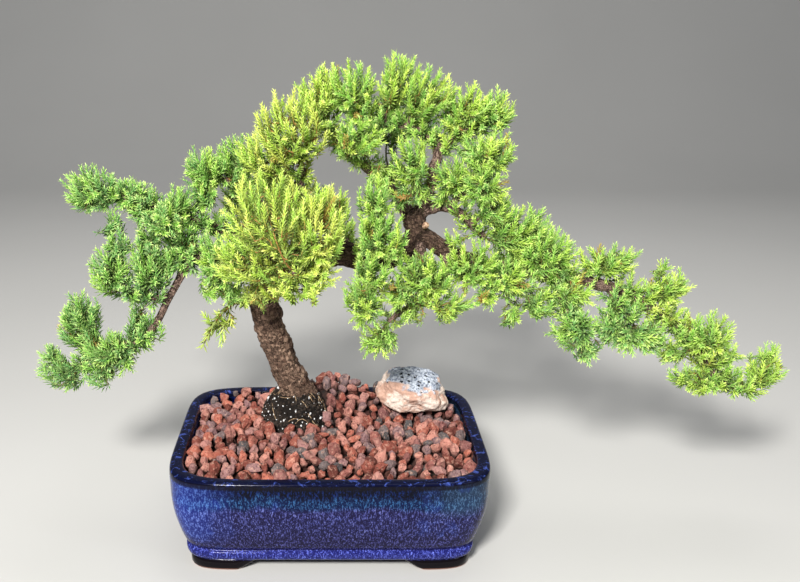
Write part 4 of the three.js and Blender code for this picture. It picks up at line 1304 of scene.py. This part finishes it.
# %% Bark relief
def bark_relief(mesh, samples):
    """Pushes cracks and plates into the skin, and stores each point's place on its limb."""
    tree = kdtree.KDTree(len(samples))
    for i, sample in enumerate(samples):
        tree.insert(sample[0], i)
    tree.balance()
    grain, thick, moved = [], [], []
    for vertex in mesh.vertices:
        _, radius, turn, along = samples[tree.find(vertex.co)[1]]
        spot = Vector((math.cos(turn) * radius, math.sin(turn) * radius, along * 0.16))
        fine = vertex.co / MM
        ridge = abs(noise.noise(spot * 0.5 + fine * 0.03)) * 1.7
        ridge += abs(noise.noise(spot * 1.1 + fine * 0.06)) * 0.9
        plate = noise.noise(fine * 0.16) + 0.5 * noise.noise(fine * 0.5)
        size = min(1.0, radius / 9)
        moved.append(vertex.co + vertex.normal * MM * size * (1.5 * ridge - 0.85 + 0.3 * plate))
        grain += [spot.x, spot.y, along]
        thick.append(size)
    for vertex, spot in zip(mesh.vertices, moved):
        vertex.co = spot
    mesh.attributes.new("grain", "FLOAT_VECTOR", "POINT").data.foreach_set("vector", grain)
    mesh.attributes.new("thick", "FLOAT", "POINT").data.foreach_set("value", thick)
    mesh.update()


bark_relief(wood_mesh, wood_samples)
print("bark stored on", len(wood_mesh.vertices), "points")

# %% [markdown]
# Old juniper bark is grey-brown and paler on thin limbs. The thick wood high up, round the fork, is darkened
# as painted shade from the crown above. The finish draws fibres along the limb, flakes, and dark cracks
# between the plates. A branch was once cut off at the fork and left a small pale scar, which is a short rod.

# %% Bark finish and cut scar
def bark_material():
    material, shader, place = new_material("juniper_bark")
    grain, thick = stored(place, "grain", "Vector"), stored(place, "thick")
    wander = add(place.tree, "ShaderNodeTexNoise", None, "Color", Vector=place, Scale=340.0, Detail=3.0)
    shift = add(place.tree, "ShaderNodeVectorMath", {"operation": "SCALE"}, i0=wander, Scale=3.2)
    loose = add(place.tree, "ShaderNodeVectorMath", {"operation": "ADD"}, i0=grain, i1=shift)
    plates = add(place.tree, "ShaderNodeTexVoronoi", {"feature": "DISTANCE_TO_EDGE"}, "Distance",
                 Vector=stretch(loose, 1, 1, 0.32), Scale=0.52)
    scales = add(place.tree, "ShaderNodeTexVoronoi", {"feature": "F1"}, "Color",
                 Vector=stretch(loose, 1, 1, 0.5), Scale=1.25)
    strips = speckle(stretch(grain, 1, 1, 0.11), 1.9, 5, 0.68, 0.6)
    flakes = speckle(place, 840, 4, 0.72, 0.8)
    broad = speckle(place, 38, 3)
    share = strips * 0.5 + flakes * 0.36 + parts_of(scales)[0] * 0.14
    dark = blend(spread(broad, 0.4, 0.62), tone(74, 56, 48), tone(100, 76, 64))
    light = blend(spread(broad, 0.4, 0.62), tone(150, 122, 104), tone(188, 158, 136))
    trunk = blend(spread(share, 0.38, 0.64), dark, light)
    limb = blend(spread(share, 0.38, 0.62), tone(104, 80, 72), tone(184, 156, 142))
    colour = blend(spread(thick, 0.65, 0.35), trunk, limb)
    # Painted shade: thick wood above about 15 to 19 cm is darkened, for the shadow of the crown on the fork.
    darkening = spread(parts_of(place)[2], 0.15, 0.19) * thick * 0.62
    colour = blend(darkening, colour, tone(44, 32, 27))
    crack = spread(plates, 0.07, 0.015)
    colour = blend(crack * 0.8, colour, tone(38, 26, 22))
    colour = blend(spread(flakes, 0.4, 0.3), colour, tone(36, 26, 22))
    fill(shader, Base_Color=colour, Roughness=0.93, Specular_IOR_Level=0.2)
    bump(shader, share - crack * 0.5, 1.0, 0.0022)
    return material


SCAR_PATH = [Vector((58, 8, 204)), Vector((60.5, 2.6, 207)), Vector((61, 1.4, 207.6))]
SCAR = joined("cut_scar", [rod(SCAR_PATH, [2.2, 2.1, 1.3], 12)])
SCAR.materials.append(plain_speckled("cut_wood", tone(120, 88, 68), tone(206, 174, 146), 620, 0.85))
wood_mesh.materials.append(bark_material())
wood = join_meshes("bark_and_limbs", [wood_mesh, SCAR])
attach(wood, "root")
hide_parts("trunk_and_limbs")
print("wood and scar faces:", len(wood.data.polygons))

# %% [markdown]
# This juniper has prickly needles in threes round its shoots. A whorl of three needles is the smallest part
# that repeats, so five slightly different whorls are modelled. A needle is a closed lance of four faces:
# it begins and ends in a point and is widest in the middle. With thousands of whorls, finer needles would
# cost more than they show. Each point knows how near the needle's tip it is, for its colour.

# %% One whorl of needles
NEEDLE_LENGTH = 3.9
NEEDLE_HALF_WIDTH = 0.6
WHORL_SPACING = 1.3
WHORL_SHAPES = 5


def whorl_mesh(name, seed):
    draw = random.Random(seed)
    points, faces, reach = [], [], []
    for needle in range(3):
        turn = math.radians(120 * needle + draw.uniform(-14, 14))
        lean = math.radians(draw.uniform(32, 48))
        length = NEEDLE_LENGTH * draw.uniform(0.86, 1.1)
        outward = Vector((math.cos(turn), math.sin(turn), 0))
        sideways = Vector((-math.sin(turn), math.cos(turn), 0))
        up = Vector((0, 0, 1))

        def along(share, angle):
            sideward = outward * (0.2 + length * share * math.sin(angle))
            return sideward + up * (length * share * math.cos(angle))

        root, middle, tip = along(0, lean), along(0.5, lean - 0.1), along(1, lean + 0.06)
        shift = len(points)
        corners = [root, middle + sideways * NEEDLE_HALF_WIDTH, middle - sideways * NEEDLE_HALF_WIDTH,
                   tip + sideways * draw.uniform(-0.25, 0.25)]
        points += [c * MM for c in corners]
        reach += [0.0, 0.5, 0.5, 1.0]
        faces += [tuple(shift + corner for corner in face)
                  for face in ((0, 1, 2), (3, 2, 1), (0, 3, 1), (0, 2, 3))]
    mesh = mesh_of(name, points, faces)
    mesh.attributes.new("reach", "FLOAT", "POINT").data.foreach_set("value", reach)
    return mesh


WHORLS = shape_set("whorl", [whorl_mesh(f"whorl_{i}", 60 + i) for i in range(WHORL_SHAPES)])

# %% [markdown]
# A shoot is a line with needles all round. The Geometry Nodes tool below takes a spray's lines, cuts them
# into short steps, puts a whorl on each step, turned so that it stands in the gaps of the one below, and
# wraps a slim stem round the lines. Size and spread of the needles, their age and their tint come with
# the lines, as values on their points.

# %% A tool that dresses lines with needles
def value_of(tree, name):
    """What the lines store at their points under a name."""
    return add(tree, "GeometryNodeInputNamedAttribute", {"data_type": "FLOAT"}, "Attribute", Name=name)


def resampled(curve, length):
    """The same curve with points at even steps."""
    return add(curve.tree, "GeometryNodeResampleCurve", {"mode": "LENGTH"}, Curve=curve, Length=length)


def needle_tool():
    tree, given, leave = node_tool("needled_shoots", [
        ("Whorls", "Collection", None), ("Whorl Spacing", "Float", 0.0015), ("Stem Step", "Float", 0.005),
        ("Seed", "Int", 1), ("Material", "Material", None)])
    lines = add(tree, "GeometryNodeMeshToCurve", Mesh=given["Geometry"])
    way = add(tree, "GeometryNodeInputTangent")
    stand = add(tree, "FunctionNodeAlignRotationToVector", {"axis": "Z"}, Vector=way)
    twist = add(tree, "GeometryNodeInputIndex") * 1.0472 + drawn(-0.35, 0.35, given["Seed"])
    turn = add(tree, "FunctionNodeAxisAngleToRotation", Axis=(0.0, 0.0, 1.0), Angle=twist)
    turned = add(tree, "FunctionNodeRotateRotation", {"rotation_space": "LOCAL"}, Rotation=stand,
                 Rotate_By=turn)
    size = value_of(tree, "needle") * drawn(0.86, 1.14, given["Seed"] + 7.0)
    width = size * value_of(tree, "spread")
    scale = add(tree, "ShaderNodeCombineXYZ", X=width, Y=width, Z=size)
    clothed = add(tree, "FunctionNodeCompare", {"data_type": "FLOAT", "operation": "GREATER_THAN"},
                  i0=size, i1=0.25)
    whorls = add(tree, "GeometryNodeInstanceOnPoints", Points=resampled(lines, given["Whorl Spacing"]),
                 Selection=clothed, Instance=shapes_in(given["Whorls"]), Pick_Instance=True,
                 Rotation=turned, Scale=scale)
    ring = add(tree, "GeometryNodeCurvePrimitiveCircle", {"mode": "RADIUS"}, Resolution=3, Radius=1.0)
    stem = add(tree, "GeometryNodeCurveToMesh", Curve=resampled(lines, given["Stem Step"]),
               Profile_Curve=ring, Scale=value_of(tree, "girth"), Fill_Caps=True)
    both = tree.nodes.new("GeometryNodeJoinGeometry")
    for geometry in (add(tree, "GeometryNodeRealizeInstances", Geometry=whorls),
                     mark(stem, "stem", 1.0, "POINT")):
        tree.links.new(geometry.socket, both.inputs[0])
    fill(leave, Geometry=add(tree, "GeometryNodeSetMaterial", Geometry=Signal(both.outputs[0]),
                             Material=given["Material"]))
    return tree


NEEDLES = needle_tool()
print("needle tool nodes:", len(NEEDLES.nodes))

# %% [markdown]
# Young needles at the ends of the shoots are bright yellow-green with pale points, partly their own and
# partly painted highlight, and older ones further in are darker and duller. Sprays differ too: the crown and
# the front are yellower, the left ones bluer. A few shoots inside the tree have dried to orange-brown.

# %% Needle finish
def needle_material():
    material, shader, place = new_material("juniper_needles")
    young, tint, dry, reach, stem = (stored(place, name)
                                     for name in ("young", "tint", "dry", "reach", "stem"))
    patch = speckle(place, 60, 3)
    fine = speckle(place, 420, 2)
    fresh = ramp(tint + (patch - 0.5) * 0.7, [
        (0.0, (124, 182, 104)), (0.35, (152, 208, 90)), (0.7, (198, 232, 92)), (1.0, (228, 240, 116))])
    old = blend(0.8, fresh, tone(28, 56, 22))
    colour = blend(spread(young, 0.05, 0.85), old, fresh)
    # The pale needle points are partly the young needles' own colour and partly a painted highlight.
    point = spread(reach, 0.35, 1.0) * spread(young, 0.2, 1.0)
    colour = blend(point * 0.72, colour, tone(248, 250, 162))
    colour = blend(spread(fine, 0.42, 0.62) * 0.22, colour, tone(208, 224, 154))
    colour = blend(dry, colour, tone(168, 112, 62))
    warm = blend(spread(tint, 0.35, 0.75), tone(104, 92, 58), tone(172, 118, 70))
    bark = blend(spread(young, 0.2, 0.65), warm, fresh)
    colour = blend(stem, colour, bark)
    fill(shader, Base_Color=colour, Roughness=0.55, Specular_IOR_Level=0.3)
    return material


NEEDLE_FINISH = needle_material()
print("needle finish ready")

# %% [markdown]
# On a real juniper the foliage isn't only in pads at the ends of twigs. Limbs carry short shoots on the way,
# and small tufts stand out at the edge. The first table says which stretch of a limb is clothed, from one
# share of its length to another, and how far round it. The second gives each spray its tufts, as x, y, z
# and radius in millimetres. The third moves or resizes a few pads of the solid model by some millimetres.
# Rules alone could place all this, but the outline of a trained tree is a choice, so it is listed.

# %% Clothed limbs, tufts and moved pads
CLOTHED = [
    ("left_limb", 0.08, 0.38, 13), ("left_limb", 0.66, 1.0, 12), ("left_twig", 0.2, 1.0, 12),
    ("left_high", 0.36, 1.0, 12), ("shoulder", 0.25, 1.0, 12), ("crown_left", 0.45, 1.0, 13),
    ("front_fan", 0.4, 1.0, 12), ("weeping", 0.4, 1.0, 8), ("arc_limb", 0.55, 1.0, 10),
    ("right_limb", 0.2, 0.4, 14), ("right_limb", 0.53, 1.0, 13), ("top_left_limb", 0.55, 1.0, 13),
    ("crown_riser", 0.5, 1.0, 13),
    ("crown_right", 0.0, 1.0, 13), ("right_column", 0.2, 1.0, 12), ("centre_riser", 0.2, 1.0, 11),
    ("centre_drop", 0.35, 1.0, 11), ("low_twig", 0.3, 1.0, 11), ("low_stub", 0.5, 1.0, 10),
    ("right_drop", 0.15, 1.0, 12), ("far_drop", 0.15, 1.0, 12), ("back_crown", 0.35, 1.0, 13),
    ("back_left", 0.5, 1.0, 12), ("back_right", 0.3, 1.0, 12), ("back_mid", 0.4, 1.0, 12),
]
TUFTS = {
    "left_mid_outer": [(-132, -10, 199, 9), (-134, -4, 213, 6)],
    "left_mid_inner": [(-112, -8, 203, 10)],
    "left_high_mid": [(-117, -4, 215, 9)],
    "left_high_inner": [(-93, 2, 223, 10)],
    "shoulder_tip": [(-80, 10, 223, 11)],
    "left_mid_top": [(-100, -6, 185, 10)],
    "left_low_round": [(-160, -4, 152, 13)],
    "left_low_tip": [(-181, -6, 124, 7), (-171, -6, 105, 9)],
    "left_low_body": [(-148, -12, 115, 11), (-134, -8, 118, 9)],
    "skirt_left": [(-70, -14, 170, 11), (-58, -14, 166, 8)],
    "front_fan_left": [(-46, -26, 170, 9)],
    "centre_low": [(16, -28, 173, 10), (26, -32, 188, 13)],
    "front_fan_right": [(-2, -38, 187, 9), (3, -24, 231, 9)],
    "crown_under": [(34, -2, 240, 8)],
    "lower_left": [(39, -28, 172, 12), (44, -28, 190, 9)],
    "lower_under": [(48, -22, 157, 6), (74, -24, 157, 7)],
    "right_low": [(97, -20, 167, 9), (115, -18, 154, 7), (133, -16, 161, 11)],
    "right_body": [(155, -12, 168, 13)],
    "drop_left": [(164, -20, 130, 8)],
    "drop_right": [(173, -16, 148, 11), (205, -12, 137, 12)],
    "right_mid": [(187, -4, 187, 9)],
    "far_upright": [(211, -4, 184, 5), (225, -4, 169, 6)],
    "far_body": [(217, -8, 127, 9), (260, -6, 122, 8)],
    "far_low": [(227, -10, 112, 8)],
    "right_tip": [(284, -6, 126, 7)],
    "lower_mid": [(76, -6, 202, 6)],
    "crown_far_left": [(-2, 10, 299, 8)],
    "crown_top_left": [(16, 4, 274, 9)],
    "crown_top_right": [(72, 6, 272, 9)],
    "column_top": [(88, 4, 256, 12)],
    "mid_upright": [(56, 0, 228, 9), (42, -6, 227, 8)],
    "inner_right": [(68, 2, 224, 7)],
}
ADJUSTED = {
    "front_fan_low": ((-20, -38, 179), (24, 14, 7)),
    "centre_up": ((27, -32, 230), (12, 12, 18)),
    "far_upright": ((214, -4, 168), (12, 12, 15)),
    "right_mid": ((172, -2, 184), (19, 14, 13)),
    "right_back": ((136, 34, 190), (20, 14, 15)),
    "crown_peak": ((43, 6, 297), (15, 16, 19)),
    "crown_top_right": ((84, 10, 281), (17, 16, 14)),
    "crown_far_right": ((102, 12, 277), (13, 14, 14)),
    "crown_top_mid": ((60, 4, 289), (18, 18, 16)),
    "back_crown": ((46, 60, 270), (26, 14, 13)),
    "back_mid": ((-6, 54, 207), (20, 14, 18)),
}
print("clothed stretches:", len(CLOTHED), "tufts:", sum(len(tufts) for tufts in TUFTS.values()))

# %% [markdown]
# A spray is drawn as lines first. Every point of a line holds what the needle tool reads: the size and
# spread of the needles, their age, tint and dryness, and the girth of the stem. Needles are long and loose
# on the left and on the hanging shoots, and short in the crown.

# %% Lines that carry values
LINE_PARTS = 6


def needle_growth(name):
    """How long a spray's needles are, where 1 is the length of the modelled whorl."""
    if name == "weeping_shoot":
        return 1.5
    yellow, right = SPRAYS[name][4], SPRAYS[name][2][0] > 100
    return 1 + 0.85 * max(0.0, 0.45 - yellow) + (0.12 if right else 0.0)


def shoot_size(share, growth):
    """Needles are short at both ends of a shoot."""
    return growth * (0.66 + 0.46 * math.sin(math.pi * min(1.0, 0.18 + 0.74 * share)) ** 0.8)


def bent_line(start, heading, end, parts=LINE_PARTS, bend=0.42):
    """Leaves its start along a heading and bends over to its end."""
    corner = start + heading * bend * (end - start).length
    return [start * (1 - t) ** 2 + corner * 2 * t * (1 - t) + end * t * t
            for t in (i / parts for i in range(parts + 1))]


class Lines:
    """The lines of one spray, with the values that the needle tool reads at their points."""

    NAMES = ("needle", "spread", "young", "tint", "dry", "girth")

    def __init__(self):
        self.points, self.edges = [], []
        self.values = {name: [] for name in self.NAMES}

    def draw(self, path, **rules):
        """Adds a line. Each rule is a pair of values, at its start and its end, or a function."""
        first = len(self.points)
        for i, point in enumerate(path):
            share = i / (len(path) - 1)
            self.points.append(at(*point))
            for name in self.NAMES:
                rule = rules[name]
                value = rule(share) if callable(rule) else rule[0] + (rule[1] - rule[0]) * share
                self.values[name].append(value)
        self.edges += [(first + i, first + i + 1) for i in range(len(path) - 1)]

    def mesh(self, name):
        mesh = mesh_of(name, self.points, [], self.edges)
        for key, values in self.values.items():
            mesh.attributes.new(key, "FLOAT", "POINT").data.foreach_set("value", values)
        return mesh


print("values on each point:", len(Lines.NAMES))

# %% [markdown]
# Each spray fills a rounded pad. Its shoots end all over the pad's surface and inside it, lean outwards and
# turn up at their tips. Directions drawn at random would leave holes and clumps, so they come from a
# sequence that covers a ball evenly. Each place along a clothed limb grows a small pad of its own, as part
# of the spray whose twig is nearest.

# %% Shoots of a pad
SHOOT_LENGTHS = (12, 18)
SLEEVE_STEP = 9


def even_direction(number, twist):
    """One of many directions that are spread evenly over a ball."""
    u = (0.5 + 0.7548776662 * (number + twist)) % 1
    v = (0.5 + 0.569840291 * (number + twist)) % 1
    z = 1 - 2 * u
    flat = math.sqrt(1 - z * z)
    return Vector((flat * math.cos(2 * math.pi * v), flat * math.sin(2 * math.pi * v), z))


def plan_shoots(centre, radii, hub, start, count, twist, draw):
    """Shoots of a rounded pad, each as its base, the way it leaves, and its tip."""
    small = 0.6 + 0.4 * min(1.0, min(radii) / 11)
    result = []
    for number in range(count):
        side = even_direction(number, twist)
        reach = 0.5 + 0.46 * math.sqrt(draw.random())
        tip = centre + Vector((side.x * radii[0], side.y * radii[1], side.z * radii[2])) * reach
        jitter = Vector((draw.gauss(0, 1), draw.gauss(0, 1), draw.gauss(0, 1))) * 0.22
        away = (tip - hub).normalized()
        upward = 0.36 + 0.34 * side.z
        lean = (away + Vector((0, 0, upward)) + jitter).normalized()
        length = min(draw.uniform(*SHOOT_LENGTHS) * small, (tip - start).length * 0.85)
        result.append((tip - lean * length, away, tip))
    return result


def sleeves_of(limb_name):
    """Places along a limb that carry foliage of their own: the point on the limb and the radius."""
    result = []
    for limb, first, last, radius in CLOTHED:
        if limb == limb_name:
            curve = CURVES[limb]
            count = max(1, round((last - first) * curve.length / SLEEVE_STEP))
            result += [(curve.place(first + (last - first) * (i + 0.5) / count), radius)
                       for i in range(count)]
    return result


def sleeves_by_spray():
    """Gives each place along a limb to the spray whose twig is nearest."""
    result = {spray: [] for spray in SPRAYS}
    for limb in LIMBS:
        carried = [spray for spray in SPRAYS if SPRAYS[spray][0] == limb]
        for point, radius in sleeves_of(limb):
            if carried:
                nearest = min(carried, key=lambda spray: (twig_of(spray)[0] - point).length)
                result[nearest].append((point, radius))
    return result


SLEEVES = sleeves_by_spray()
print("places along limbs:", sum(len(places) for places in SLEEVES.values()))

# %% [markdown]
# The shoots are joined from the inside out: every new twig starts at the nearest place of those already
# grown, as a real plant forks. So nothing floats, and the pad has an inner frame. Shoots that all ran
# straight from the limb would look like a brush.

# %% Growing a spray
SHOOTS_PER_AREA = 0.21
FEWEST_SHOOTS = 6
SLENDER_SHARE = 0.4
SLEEVE_SHARE = 0.42
TUFT_SHARE = 0.85
SLENDER_RADIUS = 5
TINT_VARIES = 0.06
TINT_SIDES = (0.03, -0.06)
SIDES_MEET = 10
DRY_CHANCE = 0.01
DETOUR_WEIGHT = 0.12


def planned_shoots(name, order, centre, radii, start, draw):
    """All shoots of a spray, of its pad, its places along the limb and its tufts, the innermost first."""
    area = (radii[0] * radii[1] + radii[1] * radii[2] + radii[2] * radii[0]) / 3
    share = SLENDER_SHARE if min(radii) < SLENDER_RADIUS else 1.0
    count = max(FEWEST_SHOOTS, round(SHOOTS_PER_AREA * area * share))
    shoots = plan_shoots(centre, radii, start.lerp(centre, 0.3), start, count, order * 0.37, draw)
    for number, (point, radius) in enumerate(SLEEVES[name]):
        lift = Vector((0, 0, 0.25 * radius))
        count = round(SLEEVE_SHARE * SHOOTS_PER_AREA * radius ** 2)
        shoots += plan_shoots(point + lift, (radius, radius, radius * 0.9), point, point, count,
                              number * 0.53 + order, draw)
    for number, (x, y, z, radius) in enumerate(TUFTS.get(name, ())):
        tuft = Vector((x, y, z))
        hub = tuft + (start - tuft).normalized() * 0.7 * radius
        count = round(TUFT_SHARE * SHOOTS_PER_AREA * radius ** 2)
        shoots += plan_shoots(tuft, (radius, radius, radius), hub, start, count, number * 0.71 + order,
                              draw)
    shoots.sort(key=lambda shoot: (shoot[0] - start).length)
    return shoots


def grow_spray(name, order):
    """All lines of a spray: a leader, then a twig and a shoot for each planned shoot."""
    centre, radii, yellow = SPRAYS[name][2:]
    centre, radii = ADJUSTED.get(name, (centre, radii))
    centre = Vector(centre)
    _, way, start = twig_of(name)
    growth = needle_growth(name)
    draw = random.Random(700 + order)
    tint = yellow + draw.uniform(-TINT_VARIES, TINT_VARIES) + TINT_SIDES[centre.x > SIDES_MEET]
    forward = (centre - start).normalized()
    slender = min(radii) < SLENDER_RADIUS
    end = centre + forward * (0.85 * max(radii) if slender else 0.25 * min(radii))
    leader = bent_line(start, way, end, 8)
    lines = Lines()
    lines.draw(leader, needle=(growth, growth) if slender else (0.3, 0.85), spread=(1.0, 0.9),
               young=(0.0, 0.35), tint=(tint, tint), dry=(0.0, 0.0), girth=(0.7 * MM, 0.45 * MM))
    nodes = [(point, forward, i * 1.5) for i, point in enumerate(leader)]
    nodes += [(point, forward, 0.0) for point, _ in SLEEVES[name]]
    for base, away, tip in planned_shoots(name, order, centre, radii, start, draw):
        origin, heading, travel = min(
            nodes, key=lambda node: (node[0] - base).length + DETOUR_WEIGHT * node[2])
        gap = (base - origin).length
        shade = tint - 0.06 + draw.uniform(-0.26, 0.24)
        dry = 0.7 if draw.random() < DRY_CHANCE else 0.0
        if gap > 1:
            straight = (base - origin).normalized()
            twig = bent_line(origin, (heading + straight * 1.6).normalized(), base, max(2, round(gap / 3)))
            lines.draw(twig, needle=(0.5, 0.8), spread=(1.0, 1.0), young=(0.1, 0.3), tint=(shade, shade),
                       dry=(dry, dry), girth=(0.5 * MM, 0.38 * MM))
            nodes += [(point, straight, travel + i * 3) for i, point in enumerate(twig)][1:]
        shoot = bent_line(base, away, tip, bend=0.45)
        nodes += [(point, away, travel + gap + 4) for point in shoot[1:3]]
        fresh = 0.8 + 0.2 * draw.random()
        lines.draw(shoot, needle=lambda share: shoot_size(share, growth), spread=(1.0, 0.66),
                   young=(0.2, fresh), tint=(shade, shade + 0.08), dry=(dry, dry),
                   girth=(0.4 * MM, 0.26 * MM))
    return lines


print("sprays to grow:", len(SPRAYS))

# %% [markdown]
# Every spray is grown with a seed of its own, so no two are alike, and dressed by the needle tool. One plain
# mesh for each spray keeps them easy to hide, recolour or replace one by one.

# %% All sprays
PIECE_TOTAL = 0
for order, spray in enumerate(SPRAYS):
    source = new_piece("spray_lines", grow_spray(spray, order).mesh("spray_lines"), smooth=False)
    spray_mesh = run_tool(NEEDLES, source, "needles_" + spray, {
        "Whorls": WHORLS, "Whorl Spacing": WHORL_SPACING * needle_growth(spray) * MM, "Seed": 1000 + order,
        "Material": NEEDLE_FINISH})
    piece = new_piece("needles_" + spray, spray_mesh, smooth=False)
    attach(piece, "root")
    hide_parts(spray)
    PIECE_TOTAL += len(spray_mesh.polygons)
drop_set(WHORLS)
print("needle faces in all:", PIECE_TOTAL)
